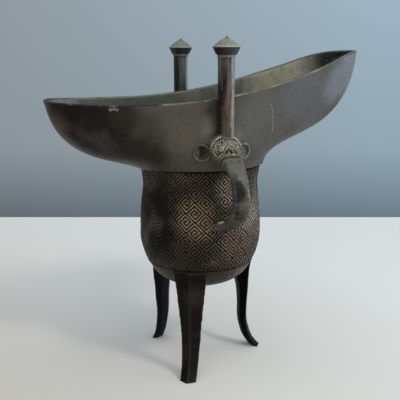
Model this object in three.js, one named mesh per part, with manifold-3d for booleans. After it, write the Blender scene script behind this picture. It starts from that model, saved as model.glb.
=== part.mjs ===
// Ritual bronze wine cup on three legs: a deep belly, a long boat-shaped mouth with a raised tail,
// two capped posts, a strap handle held in the jaws of a beast head, and three blade legs.
// Millimetres, +Z up, +X towards the raised tail, -Y towards the handle.
import * as THREE from 'three';
import { mergeVertices } from 'three/addons/utils/BufferGeometryUtils.js';
import Module from 'manifold-3d';

// Gap left where one casting sits on another, and the thickness of the cast walls
const SEAT = 0.3;
const BELLY_WALL = 2.4;
const MOUTH_WALL = 2.2;

// Heights, each measured from the one before it: floor, border, joint, rim, post top, cap tip
const BORDER_HEIGHT = 63;
const BAND_HEIGHT = 58;
const MOUTH_DEPTH = 34.6;
const POST_RISE = 24.4;
const CAP_HEIGHT = 9;

// Belly: a rounded bottom, a swell and a narrower neck under the joint
const BOTTOM_DEPTH = 15.5;
const BORDER_RADIUS = 30.8;
const BELLY_RISE = 19;
const BELLY_RADIUS = 34.8;
const NECK_DROP = 11;
const NECK_RADIUS = 32.6;
const JOINT_RADIUS = 34.5;

// Mouth: reach of both ends from the belly's axis, and how square their plan is
const SPOUT_REACH = 86.3;
const TAIL_REACH = 96.8;
const MOUTH_HALF_WIDTH = 33.1;
const SPOUT_ROUNDNESS = 2.9;
const TAIL_ROUNDNESS = 2.35;
const SPOUT_LIFT = 1.2;
const TAIL_LIFT = 26.7;

// Wall of the mouth at each end. It leaves the joint towards a low bend and comes down from the rim
// towards a high one: how far out and up the first lies, and how far in and down the second, as shares.
const SPOUT_BEND_OUT = 0.41;
const SPOUT_BEND_UP = 0.22;
const SPOUT_LIP_IN = 0.12;
const SPOUT_LIP_DOWN = 0.85;
const TAIL_BEND_OUT = 0.02;
const TAIL_BEND_UP = 0.27;
const TAIL_LIP_IN = 0.06;
const TAIL_LIP_DOWN = 0.9;
const SIDE_BEND_OUT = 0.1;
const SIDE_BEND = 0.33;

// Skirt of the mouth, which laps down over the joint, further under the spout
const LAP_WALL = 1.5;
const LAP_DEPTH = 0.7;
const SPOUT_LAP_DEPTH = 2.9;

// Posts and caps
const POST_RADIUS = 4.35;
const POST_BEAD = 0.35;
const POST_BEAD_HEIGHT = 1.3;
const POST_END_ROUND = 2.2;
const POST_ACROSS = 0.8;
const FAR_POST_DROP = 22.6;
const CAP_RADIUS = 7.1;
const CAP_SEAT_RADIUS = 5.4;
const COLLAR_HEIGHT = 3.7;
const CAP_TIP_RADIUS = 0.9;

// Legs: blades with a ridge outside, drawn in at the waist and turned out at the foot. A shoulder is
// how far behind the ridge a blade is widest, and a back how wide it ends, both as shares.
const FOOT_REACH = 40;
const SOLE_DEPTH = 5.8;
const FOOT_WIDTH = 9.8;
const LEG_TOP_WIDTH = 19.8;
const LEG_TOP_DEPTH = 16;
const WAIST_HEIGHT = 20;
const WAIST_DEPTH = 5.5;
const KNEE_OUT = 1.3;
const LEG_LAP = 1.7;
const FOOT_SHOULDER = 0.56;
const LAP_SHOULDER = 0.12;
const LEG_BACK = 0.4;
const TAIL_LEG_WAIST = 30.8;
const NEAR_LEG_WAIST = 31.2;
const FAR_LEG_WAIST = 34.4;

// Handle
const STRAP_WIDTH = 9.2;
const STRAP_THICKNESS = 5.2;
const STRAP_FOOT_THICKNESS = 3.8;
const HANDLE_REACH = 63.8;
const HANDLE_FOOT_RISE = 25.6;
const COLLAR_WIDTH = 11;
const BEAD = 0.55;
const BEAD_PITCH = 3.3;
const COLLAR_LENGTH = 16;
const LEAF_WIDTH = 6.6;
const LEAF_RISE = 2.3;
const LEAF_THICKNESS = 3.4;

// Beast head
const HEAD_RISE = 10.5;
const HEAD_HALF_WIDTH = 9.8;
const HEAD_HALF_HEIGHT = 8.5;
const HEAD_REACH = 12.4;
const JAW_REACH = 13.6;
const JAW_DROP = 3.6;
const JAW_WALL = 1.1;
const JAW_LENGTH = 6.5;
const JAW_HALF_HEIGHT = 4.4;
const BROW_RADIUS = 0.9;
const EYE_SPREAD = 4.1;
const EYE_RADIUS = 1.5;
const EAR_SPREAD = 12;
const EAR_RADIUS = 4.6;
const EAR_DROP = 1;
const EAR_THICKNESS = 2.8;
const EAR_HOLLOW = 1.3;
const EAR_TURN = 26;

const JOINT_HEIGHT = BORDER_HEIGHT + BAND_HEIGHT;
const RIM_HEIGHT = JOINT_HEIGHT + MOUTH_DEPTH;
const POST_TOP = RIM_HEIGHT + POST_RISE;
const POST_OFFSET = MOUTH_HALF_WIDTH + POST_RADIUS + SEAT;
const LAP_RADIUS = JOINT_RADIUS + SEAT + LAP_WALL;
const HEAD_HEIGHT = JOINT_HEIGHT + HEAD_RISE;
const JAW_HEIGHT = HEAD_HEIGHT - JAW_DROP;
const JAW_END = MOUTH_HALF_WIDTH + JAW_REACH;
const HANDLE_FOOT = BORDER_HEIGHT + HANDLE_FOOT_RISE;

const wasm = await Module();
wasm.setup();

// Six times the volume inside a mesh, negative when its faces point in
function turnOf(geometry) {
  const [a, b, c] = [new THREE.Vector3(), new THREE.Vector3(), new THREE.Vector3()];
  const { position } = geometry.attributes;
  let sum = 0;
  for (let i = 0; i < geometry.index.count; i += 3) {
    a.fromBufferAttribute(position, geometry.index.getX(i));
    b.fromBufferAttribute(position, geometry.index.getX(i + 1));
    c.fromBufferAttribute(position, geometry.index.getX(i + 2));
    sum += a.dot(b.cross(c));
  }
  return sum;
}

// A closed skin over rings of points. Rings that meet run round; others get an end cap each.
function skin(rings, meet = false) {
  const size = rings[0].length;
  const points = rings.flat();
  const faces = [];
  for (let i = 0; i < (meet ? rings.length : rings.length - 1); i += 1) {
    const next = (i + 1) % rings.length;
    for (let j = 0; j < size; j += 1) {
      const k = (j + 1) % size;
      faces.push([i * size + j, i * size + k, next * size + k]);
      faces.push([i * size + j, next * size + k, next * size + j]);
    }
  }
  for (const row of meet ? [] : [0, rings.length - 1]) {
    const centre = new THREE.Vector3();
    rings[row].forEach((point) => centre.addScaledVector(point, 1 / size));
    const middle = points.push(centre) - 1;
    for (let j = 0; j < size; j += 1) {
      const edge = [row * size + j, row * size + ((j + 1) % size)];
      faces.push(row === 0 ? [middle, edge[1], edge[0]] : [middle, edge[0], edge[1]]);
    }
  }
  const geometry = new THREE.BufferGeometry().setFromPoints(points);
  geometry.setIndex(faces.flat());
  if (turnOf(geometry) < 0) geometry.setIndex(faces.map(([a, b, c]) => [b, a, c]).flat());
  return geometry;
}

// A revolved outline whose axis stands upright
function revolve(outline, sides) {
  return new THREE.LatheGeometry(outline, sides).rotateX(Math.PI / 2);
}

function solid(geometry) {
  const bare = geometry.clone();
  bare.deleteAttribute('normal');
  bare.deleteAttribute('uv');
  const merged = mergeVertices(bare, 1e-4);
  return new wasm.Manifold(new wasm.Mesh({
    numProp: 3,
    vertProperties: new Float32Array(merged.attributes.position.array),
    triVerts: new Uint32Array(merged.index.array),
  }));
}

function geometryOf(body) {
  const mesh = body.getMesh();
  const geometry = new THREE.BufferGeometry();
  geometry.setAttribute('position', new THREE.BufferAttribute(mesh.vertProperties, 3));
  geometry.setIndex(new THREE.BufferAttribute(mesh.triVerts, 1));
  return geometry;
}

function cutBy(geometry, bodies) {
  return geometryOf(bodies.reduce((rest, body) => rest.subtract(body), solid(geometry)));
}

function egg(radii, place, sides = 20) {
  return new THREE.SphereGeometry(1, sides, Math.round(sides * 0.7)).scale(...radii).translate(...place);
}

// Belly: the outside from the bottom on the axis up to the joint, moved out by grow
function bellyOutline(grow = 0, count = 24) {
  const swell = BORDER_HEIGHT + BELLY_RISE;
  const neck = JOINT_HEIGHT - NECK_DROP;
  const line = new THREE.SplineCurve([
    new THREE.Vector2(0.001, BORDER_HEIGHT - BOTTOM_DEPTH),
    new THREE.Vector2(BORDER_RADIUS * 0.55, BORDER_HEIGHT - BOTTOM_DEPTH * 0.84),
    new THREE.Vector2(BORDER_RADIUS * 0.86, BORDER_HEIGHT - BOTTOM_DEPTH * 0.47),
    new THREE.Vector2(BORDER_RADIUS, BORDER_HEIGHT),
    new THREE.Vector2(BELLY_RADIUS * 0.8 + BORDER_RADIUS * 0.2, BORDER_HEIGHT + BELLY_RISE * 0.48),
    new THREE.Vector2(BELLY_RADIUS, swell),
    new THREE.Vector2((BELLY_RADIUS + NECK_RADIUS) / 2 + 0.2, (swell + neck) / 2 + 1),
    new THREE.Vector2(NECK_RADIUS, neck),
    new THREE.Vector2(NECK_RADIUS + 0.9, neck + NECK_DROP * 0.45),
    new THREE.Vector2(JOINT_RADIUS, JOINT_HEIGHT),
  ]);
  const points = line.getSpacedPoints(count);
  return points.map((point, i) => {
    const before = points[Math.max(i - 1, 0)];
    const after = points[Math.min(i + 1, count)];
    const along = after.clone().sub(before).normalize();
    if (i === 0) return new THREE.Vector2(0, point.y - grow);
    if (i === count) return new THREE.Vector2(point.x + grow, point.y);
    return new THREE.Vector2(point.x + along.y * grow, point.y - along.x * grow);
  });
}

function bellyCup() {
  return revolve([...bellyOutline(), ...bellyOutline(-BELLY_WALL).reverse()], 48);
}

function bellyFilled(grow) {
  return revolve([...bellyOutline(grow), new THREE.Vector2(0, JOINT_HEIGHT)], 48);
}

// Mouth: the rim seen from the side, level over the spout and rising to the tail
const rimLine = new THREE.SplineCurve([
  new THREE.Vector2(-SPOUT_REACH, RIM_HEIGHT + SPOUT_LIFT),
  new THREE.Vector2(-SPOUT_REACH * 0.58, RIM_HEIGHT),
  new THREE.Vector2(-SPOUT_REACH * 0.17, RIM_HEIGHT + TAIL_LIFT * 0.04),
  new THREE.Vector2(TAIL_REACH * 0.2, RIM_HEIGHT + TAIL_LIFT * 0.22),
  new THREE.Vector2(TAIL_REACH * 0.56, RIM_HEIGHT + TAIL_LIFT * 0.56),
  new THREE.Vector2(TAIL_REACH * 0.85, RIM_HEIGHT + TAIL_LIFT * 0.91),
  new THREE.Vector2(TAIL_REACH, RIM_HEIGHT + TAIL_LIFT),
]).getPoints(120);

function rimHeight(x) {
  const i = Math.max(rimLine.findIndex((point) => point.x >= x - 1e-9), 1);
  const [a, b] = [rimLine[i - 1], rimLine[i]];
  return THREE.MathUtils.mapLinear(x, a.x, b.x, a.y, b.y);
}

function rimPoint(angle) {
  const [c, s] = [Math.cos(angle), Math.sin(angle)];
  const reach = c < 0 ? SPOUT_REACH : TAIL_REACH;
  const power = 2 / (c < 0 ? SPOUT_ROUNDNESS : TAIL_ROUNDNESS);
  const x = reach * Math.sign(c) * Math.abs(c) ** power;
  const y = MOUTH_HALF_WIDTH * Math.sign(s) * Math.abs(s) ** power;
  return new THREE.Vector3(x, y, rimHeight(x));
}

function lapDepth(angle) {
  return THREE.MathUtils.lerp(LAP_DEPTH, SPOUT_LAP_DEPTH, Math.max(-Math.cos(angle), 0) ** 4);
}

// One upright line of the mouth's outside: low and flat under the spout, steep at first under the
// tail, nearly upright at the sides
function wallPoint(angle, t) {
  const c = Math.cos(angle);
  const end = Math.abs(c) ** 1.2;
  const between = (side, spout, tail) => THREE.MathUtils.lerp(side, c < 0 ? spout : tail, end);
  const foot = JOINT_HEIGHT - lapDepth(angle);
  const base = new THREE.Vector3(LAP_RADIUS * c, LAP_RADIUS * Math.sin(angle), foot);
  const rim = rimPoint(angle);
  const low = base.clone().lerp(rim, between(SIDE_BEND_OUT, SPOUT_BEND_OUT, TAIL_BEND_OUT));
  low.z = THREE.MathUtils.lerp(foot, rim.z, between(SIDE_BEND, SPOUT_BEND_UP, TAIL_BEND_UP));
  const inward = c < 0 ? SPOUT_LIP_IN * Math.abs(c) ** 3 : TAIL_LIP_IN * end;
  const high = rim.clone().lerp(base, inward);
  high.z = THREE.MathUtils.lerp(rim.z, foot, between(SIDE_BEND, SPOUT_LIP_DOWN, TAIL_LIP_DOWN));
  return new THREE.CubicBezierCurve3(base, low, high, rim).getPoint(t);
}

function wallNormal(angle, t, level) {
  const step = 0.01;
  const round = wallPoint(angle + step, t).sub(wallPoint(angle - step, t));
  const up = wallPoint(angle, Math.min(t + step, 1)).sub(wallPoint(angle, Math.max(t - step, 0)));
  const normal = round.cross(up);
  if (level) normal.z = 0;
  return normal.normalize();
}

const MOUTH_ROWS = 12;
const MOUTH_SIDES = 64;
const mouthAngles = Array.from({ length: MOUTH_SIDES }, (_, i) => (2 * Math.PI * (i + 0.5)) / MOUTH_SIDES);

function mouthBowl() {
  return skin(mouthAngles.map((angle) => {
    const at = (radius, z) => new THREE.Vector3(radius * Math.cos(angle), radius * Math.sin(angle), z);
    const outside = [];
    const inside = [];
    for (let i = 0; i <= MOUTH_ROWS; i += 1) {
      const t = i / MOUTH_ROWS;
      const point = wallPoint(angle, t);
      outside.push(point);
      const inner = point.clone().addScaledVector(wallNormal(angle, t, i === MOUTH_ROWS), -MOUTH_WALL);
      inner.z = Math.max(inner.z, JOINT_HEIGHT + 0.3 * i);
      if (i > 0) inside.unshift(inner);
    }
    const seatRadius = JOINT_RADIUS + SEAT;
    inside.push(at(JOINT_RADIUS - BELLY_WALL, JOINT_HEIGHT));
    inside.push(at(seatRadius, JOINT_HEIGHT), at(seatRadius, JOINT_HEIGHT - lapDepth(angle)));
    return [...outside, ...inside];
  }), true);
}

function mouthFilled(grow) {
  const rows = Array.from({ length: MOUTH_ROWS + 1 }, (_, i) => i / MOUTH_ROWS);
  return skin(rows.map((t) => mouthAngles.map((angle) => {
    const normal = wallNormal(angle, t, t === 0 || t === 1);
    return wallPoint(angle, t).addScaledVector(normal, grow);
  })));
}

// Legs: the ridge line of a leg, from the foot up to where it laps the belly's border
function legRidge(waist) {
  return new THREE.SplineCurve([
    new THREE.Vector2(FOOT_REACH, 0),
    new THREE.Vector2(THREE.MathUtils.lerp(waist, FOOT_REACH, 0.68), WAIST_HEIGHT * 0.16),
    new THREE.Vector2(THREE.MathUtils.lerp(waist, FOOT_REACH, 0.3), WAIST_HEIGHT * 0.46),
    new THREE.Vector2(waist, WAIST_HEIGHT),
    new THREE.Vector2(waist + KNEE_OUT * 0.45, BORDER_HEIGHT * 0.55),
    new THREE.Vector2(waist + KNEE_OUT, BORDER_HEIGHT * 0.78),
    new THREE.Vector2(BORDER_RADIUS + LEG_LAP, BORDER_HEIGHT),
  ]);
}

// Section of a blade at a share of the height above its waist: reach inwards as a share of its depth,
// then half its width. A slim wedge below turns into a nearly flat face that wraps round the belly.
function bladeSection(above) {
  const shoulder = THREE.MathUtils.lerp(FOOT_SHOULDER, LAP_SHOULDER, above ** 3);
  return [[0, 0], [-shoulder, 1], [-1, LEG_BACK], [-1, -LEG_BACK], [-shoulder, -1]];
}

function leg(degrees, waist, bodies) {
  const ridge = legRidge(waist);
  const rings = Array.from({ length: 24 }, (_, i) => {
    const { x, y } = ridge.getPoint(i / 23);
    const half = THREE.MathUtils.lerp(FOOT_WIDTH, LEG_TOP_WIDTH, (y / BORDER_HEIGHT) ** 1.6) / 2;
    const above = Math.max((y - WAIST_HEIGHT) / (BORDER_HEIGHT - WAIST_HEIGHT), 0);
    const foot = THREE.MathUtils.lerp(SOLE_DEPTH, WAIST_DEPTH, Math.min(y / WAIST_HEIGHT, 1));
    const depth = THREE.MathUtils.lerp(foot, LEG_TOP_DEPTH, above ** 2.3);
    return bladeSection(above).map(([inward, side]) => new THREE.Vector3(x + inward * depth, side * half, y));
  });
  return cutBy(skin(rings).rotateZ(THREE.MathUtils.degToRad(degrees)), bodies);
}

function post(side, bottom, bodies) {
  const bead = POST_TOP - POST_BEAD_HEIGHT;
  const round = Array.from({ length: 6 }, (_, i) => (Math.PI / 2) * (i / 5));
  const outline = [
    ...round.map((a) => (
      new THREE.Vector2(Math.sin(a) * POST_RADIUS, bottom + (1 - Math.cos(a)) * POST_END_ROUND)
    )),
    new THREE.Vector2(POST_RADIUS, bead - 0.3),
    new THREE.Vector2(POST_RADIUS + POST_BEAD, bead),
    new THREE.Vector2(POST_RADIUS + POST_BEAD, POST_TOP),
    new THREE.Vector2(0, POST_TOP),
  ];
  return cutBy(revolve(outline, 28).translate(POST_ACROSS, side * POST_OFFSET, 0), bodies);
}

function cap(side) {
  const edge = POST_TOP + COLLAR_HEIGHT;
  const outline = [
    new THREE.Vector2(0, POST_TOP),
    new THREE.Vector2(CAP_SEAT_RADIUS, POST_TOP),
    new THREE.Vector2(CAP_RADIUS - 0.15, edge - 0.3),
    new THREE.Vector2(CAP_RADIUS, edge),
    new THREE.Vector2(CAP_RADIUS - 0.2, edge + 0.35),
    new THREE.Vector2(CAP_TIP_RADIUS, POST_TOP + CAP_HEIGHT - 0.35),
    new THREE.Vector2(0, POST_TOP + CAP_HEIGHT),
  ];
  return revolve(outline, 32).translate(POST_ACROSS, side * POST_OFFSET, 0);
}

// Handle: a strap bent into a C, from the jaws to the belly, thinner at its foot. Two beads ring its
// upper end, and a small leaf stands up against the belly at the lower one.
function handle(bodies) {
  const far = HANDLE_REACH - STRAP_THICKNESS / 2;
  const drop = JAW_HEIGHT - HANDLE_FOOT;
  const gap = far - BELLY_RADIUS;
  const line = new THREE.CatmullRomCurve3([
    [0, (far - JAW_END) / gap + 0.07],
    [0.085, 0.29],
    [0.2, 0.13],
    [0.36, 0.03],
    [0.52, 0],
    [0.64, 0.05],
    [0.76, 0.25],
    [0.87, 0.52],
    [0.95, 0.8],
    [1, 1.08],
  ].map(([down, inward]) => new THREE.Vector3(0, inward * gap - far, JAW_HEIGHT - down * drop)));
  const length = line.getLength();
  const beads = 2 * BEAD_PITCH;
  const near = Array.from({ length: 13 }, (_, i) => (beads * i) / 12);
  const rest = Array.from({ length: 22 }, (_, i) => THREE.MathUtils.lerp(beads, length, (i + 1) / 22));
  const rings = [...near, ...rest].map((distance) => {
    const place = line.getPointAt(distance / length);
    const along = line.getTangentAt(distance / length);
    const across = new THREE.Vector3(1, 0, 0);
    const out = new THREE.Vector3().crossVectors(along, across);
    const bead = distance < beads ? BEAD * Math.abs(Math.sin((Math.PI * distance) / BEAD_PITCH)) : 0;
    const narrow = THREE.MathUtils.smoothstep(distance, BEAD_PITCH, COLLAR_LENGTH);
    const thin = THREE.MathUtils.smoothstep(distance, length * 0.6, length);
    const thickness = THREE.MathUtils.lerp(STRAP_THICKNESS, STRAP_FOOT_THICKNESS, thin);
    const half = THREE.MathUtils.lerp(COLLAR_WIDTH, STRAP_WIDTH, narrow) / 2 + bead;
    return Array.from({ length: 14 }, (_, j) => {
      const [c, s] = [Math.cos((2 * Math.PI * j) / 14), Math.sin((2 * Math.PI * j) / 14)];
      return place.clone()
        .addScaledVector(across, Math.sign(c) * Math.abs(c) ** 0.7 * half)
        .addScaledVector(out, Math.sign(s) * Math.abs(s) ** 0.8 * (thickness / 2 + bead));
    });
  });
  const leaf = egg(
    [LEAF_WIDTH / 2, LEAF_THICKNESS / 2, LEAF_RISE],
    [0, -BELLY_RADIUS - SEAT, HANDLE_FOOT + STRAP_FOOT_THICKNESS / 2],
    16,
  );
  return cutBy(geometryOf(solid(skin(rings)).add(solid(leaf))), bodies);
}

// Beast head: a domed skull with a brow ridge and eyes, jaws that open downwards and cupped ears
function headSolid(grow) {
  const back = -MOUTH_HALF_WIDTH;
  const width = HEAD_HALF_WIDTH + grow;
  const height = HEAD_HALF_HEIGHT + grow;
  const pieces = [
    egg([width, HEAD_REACH + grow, height], [0, back, HEAD_HEIGHT], 26),
    egg(
      [COLLAR_WIDTH / 2 + JAW_WALL + grow, JAW_LENGTH + grow, JAW_HALF_HEIGHT + grow],
      [0, back - JAW_REACH + JAW_LENGTH, JAW_HEIGHT + JAW_WALL],
      20,
    ),
  ];
  const browReach = 6.5;
  const browPath = Array.from({ length: 17 }, (_, i) => {
    const a = THREE.MathUtils.lerp(-0.12, Math.PI + 0.12, i / 16);
    const shrink = Math.sqrt(1 - (browReach / HEAD_REACH) ** 2);
    return new THREE.Vector3(
      Math.cos(a) * HEAD_HALF_WIDTH * shrink,
      back - browReach,
      HEAD_HEIGHT + Math.sin(a) * HEAD_HALF_HEIGHT * shrink,
    );
  });
  pieces.push(skin(browPath.map((point, i) => {
    const before = browPath[Math.max(i - 1, 0)];
    const after = browPath[Math.min(i + 1, 16)];
    const along = after.clone().sub(before).normalize();
    const out = new THREE.Vector3(0, -1, 0).cross(along).normalize();
    return Array.from({ length: 8 }, (_, j) => {
      const a = (2 * Math.PI * j) / 8;
      return point.clone()
        .addScaledVector(out, Math.cos(a) * (BROW_RADIUS + grow))
        .add(new THREE.Vector3(0, Math.sin(a) * (BROW_RADIUS + grow), 0));
    });
  })));
  const hollow = grow > 0 ? 0 : EAR_HOLLOW;
  const earOutline = [
    new THREE.Vector2(0, -EAR_THICKNESS - grow),
    new THREE.Vector2(EAR_RADIUS - 0.7 + grow, -EAR_THICKNESS - grow),
    new THREE.Vector2(EAR_RADIUS + grow, grow),
    new THREE.Vector2(EAR_RADIUS - 0.9 + grow, grow),
    new THREE.Vector2(EAR_RADIUS - 1.3 + grow, grow - hollow),
    new THREE.Vector2(0, grow - hollow),
  ];
  for (const side of [-1, 1]) {
    const eye = [side * EYE_SPREAD, back - HEAD_REACH * 0.86, HEAD_HEIGHT + 1.8];
    pieces.push(egg([EYE_RADIUS + grow, EYE_RADIUS + grow, EYE_RADIUS + grow], eye, 12));
    const ear = revolve(earOutline, 20).rotateX(Math.PI / 2);
    ear.rotateZ(side * THREE.MathUtils.degToRad(EAR_TURN));
    ear.translate(side * EAR_SPREAD, back - EAR_THICKNESS - 1, HEAD_HEIGHT - EAR_DROP);
    pieces.push(ear);
  }
  return pieces.map(solid).reduce((whole, piece) => whole.add(piece));
}

const cup = new THREE.Group();

function place(name, geometry, color, roughness) {
  const mesh = new THREE.Mesh(geometry, new THREE.MeshStandardMaterial({ color, roughness, metalness: 0.6 }));
  mesh.name = name;
  cup.add(mesh);
}

// What the other castings are cut to, so that each sits on its neighbour with the same gap
const bellySeat = solid(bellyFilled(SEAT));
const mouthSeat = solid(mouthFilled(SEAT));
const headSeat = headSolid(SEAT);
const skirtSeat = solid(revolve([
  new THREE.Vector2(0, JOINT_HEIGHT - SPOUT_LAP_DEPTH - SEAT),
  new THREE.Vector2(LAP_RADIUS + SEAT, JOINT_HEIGHT - LAP_DEPTH - SEAT),
  new THREE.Vector2(LAP_RADIUS + SEAT, JOINT_HEIGHT + SEAT),
  new THREE.Vector2(0, JOINT_HEIGHT + SEAT),
], 64));

place('belly', bellyCup(), 0x3d362d, 0.55);
place('mouth_bowl', mouthBowl(), 0x5a5750, 0.52);
place('leg_tail', leg(0, TAIL_LEG_WAIST, [bellySeat]), 0x2b2622, 0.5);
place('leg_near', leg(-120, NEAR_LEG_WAIST, [bellySeat]), 0x2b2622, 0.5);
place('leg_far', leg(120, FAR_LEG_WAIST, [bellySeat]), 0x2b2622, 0.5);
const head = [mouthSeat, bellySeat, skirtSeat].reduce((rest, body) => rest.subtract(body), headSolid(0));
place('beast_head', geometryOf(head), 0x5b574c, 0.55);
place('handle', handle([bellySeat, headSeat]), 0x55514a, 0.5);
place('post_near', post(-1, HEAD_HEIGHT, [mouthSeat, headSeat]), 0x4a3a33, 0.5);
place('post_far', post(1, RIM_HEIGHT - FAR_POST_DROP, [mouthSeat]), 0x4a3a33, 0.5);
place('cap_near', cap(-1), 0x5f6158, 0.5);
place('cap_far', cap(1), 0x5f6158, 0.5);

// The origin lies on the floor, under the middle of the whole cup
const acrossMiddle = (TAIL_REACH - SPOUT_REACH) / 2;
const depthMiddle = (POST_OFFSET + CAP_RADIUS - HANDLE_REACH) / 2;
cup.position.set(-acrossMiddle, -depthMiddle, 0);

export default cup;
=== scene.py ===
# %% [markdown]
# # A bronze tripod wine cup
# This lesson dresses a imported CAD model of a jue, an old Chinese wine cup on three legs. The model
# already has every casting at its real size and place, in metres, so it is loaded as a fixed frame.
# What it lacks is made here: the cast key pattern, the carved beast mask, smooth skins in place of
# facets, and a worn bronze patina.

# %% Load the frame
import math

import bpy
import numpy as np
from mathutils import Euler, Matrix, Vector, noise
from mathutils.bvhtree import BVHTree


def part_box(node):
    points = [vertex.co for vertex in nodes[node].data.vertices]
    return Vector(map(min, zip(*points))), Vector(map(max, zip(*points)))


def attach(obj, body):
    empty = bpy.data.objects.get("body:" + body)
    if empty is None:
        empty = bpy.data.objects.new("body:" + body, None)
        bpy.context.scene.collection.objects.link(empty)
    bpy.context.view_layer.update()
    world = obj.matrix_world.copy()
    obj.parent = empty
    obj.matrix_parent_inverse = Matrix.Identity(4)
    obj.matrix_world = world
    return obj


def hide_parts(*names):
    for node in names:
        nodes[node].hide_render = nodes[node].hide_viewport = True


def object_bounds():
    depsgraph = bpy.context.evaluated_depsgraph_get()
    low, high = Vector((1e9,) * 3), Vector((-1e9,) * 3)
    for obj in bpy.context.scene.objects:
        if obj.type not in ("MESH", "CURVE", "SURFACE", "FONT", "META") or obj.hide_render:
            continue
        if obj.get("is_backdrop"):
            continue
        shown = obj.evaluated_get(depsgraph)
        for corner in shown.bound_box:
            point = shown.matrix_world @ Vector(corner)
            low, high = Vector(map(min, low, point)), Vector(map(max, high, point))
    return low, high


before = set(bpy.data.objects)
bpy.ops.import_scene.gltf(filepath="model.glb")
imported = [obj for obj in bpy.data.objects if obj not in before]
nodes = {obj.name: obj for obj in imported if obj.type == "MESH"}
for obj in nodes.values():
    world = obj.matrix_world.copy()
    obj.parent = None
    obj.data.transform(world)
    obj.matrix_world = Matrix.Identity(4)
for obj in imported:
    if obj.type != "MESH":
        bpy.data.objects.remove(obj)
cad_box = [list(corner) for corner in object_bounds()]
scene = bpy.context.scene
scene.view_settings.view_transform = "Standard"
MM = 0.001
belly_low, belly_high = (Vector(corner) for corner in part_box("belly"))
cup_axis = (belly_low + belly_high) / 2
cup_axis.z = 0
print("pieces:", sorted(nodes), "cup axis in mm:", [round(v / MM, 2) for v in cup_axis])

# %% [markdown]
# Two small helpers serve every material. One turns a colour as it is seen on a screen, such as
# "5a5750", into the linear numbers that a shader works with. The other adds one node: a plain value
# sets an input and another node's output is linked to it, so a material reads as a short list.

# %% Colour and node helpers


def colour(hex_code):
    """A screen colour as linear red, green, blue and alpha."""
    channels = [int(hex_code[i:i + 2], 16) / 255 for i in (0, 2, 4)]
    linear = [c / 12.92 if c <= 0.04045 else ((c + 0.055) / 1.055) ** 2.4 for c in channels]
    return (*linear, 1.0)


def add(tree, kind, inputs=None, **settings):
    """Adds a node to a tree. Inputs are values or other nodes' outputs, settings are its options."""
    node = tree.nodes.new(kind)
    for name, value in settings.items():
        setattr(node, name, value)
    for name, value in (inputs or {}).items():
        if isinstance(value, bpy.types.NodeSocket):
            tree.links.new(value, node.inputs[name])
        else:
            node.inputs[name].default_value = value
    return node


print("a mid grey is", [round(v, 3) for v in colour("808080")])

# %% [markdown]
# The camera stands a little over a third of a metre away and just under the height of the caps,
# and looks down by thirteen degrees. The cup is turned so that its raised tail points away to the
# right. These are real sizes and angles, worked out from how the posts, caps and feet line up.

# %% Camera
CAMERA_DISTANCE = 367.7 * MM
CAMERA_HEIGHT = 181.9 * MM
CAMERA_TILT = math.radians(13.03)
CUP_TURN = math.radians(19.41)
FOCAL_PIXELS = 645.3
IMAGE_PIXELS = 400

ahead = Vector((math.sin(CUP_TURN), math.cos(CUP_TURN), 0))
aside = Vector((math.cos(CUP_TURN), -math.sin(CUP_TURN), 0))
upward = Vector((0, 0, 1))
camera_data = bpy.data.cameras.new("camera")
camera_data.sensor_width = 36.0
camera_data.lens = camera_data.sensor_width * FOCAL_PIXELS / IMAGE_PIXELS
camera_data.clip_end = 20
camera = bpy.data.objects.new("camera", camera_data)
scene.collection.objects.link(camera)
camera.location = cup_axis - ahead * CAMERA_DISTANCE + upward * CAMERA_HEIGHT
camera.rotation_euler = Euler((math.radians(90) - CAMERA_TILT, 0, -CUP_TURN))
scene.camera = camera
print("camera at", [round(v, 4) for v in camera.location])

# %% [markdown]
# The stage is a plain pale floor that ends a third of a metre behind the cup, in front of a plain
# grey-blue backdrop. A flat colour would do for both, but their colours drift a little: the backdrop
# darkens downwards, which is painted shade, and turns bluer to the right, and the floor is warmer and
# darker in front. A ramp along one direction says that.

# %% Stage sizes and helpers
FLOOR_BEHIND = 333 * MM
FLOOR_AHEAD = 2.0
BACKDROP_BEHIND = 900 * MM
BACKDROP_DROP = 0.6
BACKDROP_RISE = 2.0
STAGE_HALF_WIDTH = 2.5
FLOOR_DRIFT = (-0.3, 0.25)
BACKDROP_DRIFT_UP = (-0.15, 0.27)
BACKDROP_DRIFT_ASIDE = (-0.38, 0.34)
FIBRE_MM = 1.5


def stage_plane(name, corners, material):
    mesh = bpy.data.meshes.new(name)
    mesh.from_pydata(corners, [], [(0, 1, 2, 3)])
    mesh.materials.append(material)
    plane = bpy.data.objects.new(name, mesh)
    scene.collection.objects.link(plane)
    plane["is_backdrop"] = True


def drifting_colour(tree, colours, direction, reach):
    """A colour that drifts through (share, colour) stops along a direction; the reach is in metres."""
    place = add(tree, "ShaderNodeTexCoord").outputs["Object"]
    along = add(tree, "ShaderNodeVectorMath", {0: place, 1: direction}, operation="DOT_PRODUCT")
    drift = add(tree, "ShaderNodeMapRange", {
        "Value": along.outputs["Value"],
        "From Min": reach[0],
        "From Max": reach[1],
    })
    ramp = add(tree, "ShaderNodeValToRGB", {"Fac": drift.outputs["Result"]})
    for index, (share, hex_code) in enumerate(colours):
        stops = ramp.color_ramp.elements
        stop = stops[index] if index < 2 else stops.new(share)
        stop.position = share
        stop.color = colour(hex_code)
    return ramp.outputs["Color"]


print("the floor ends", round(FLOOR_BEHIND / MM), "mm behind the cup")

# %% [markdown]
# The floor is pressed felt: rough, hardly glossy, with a faint grain of fibres and no pattern that
# would draw the eye. Three stops are enough for its drift from warm grey to nearly white. It has no
# glow of its own, so it keeps the cup's shadow.

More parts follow.
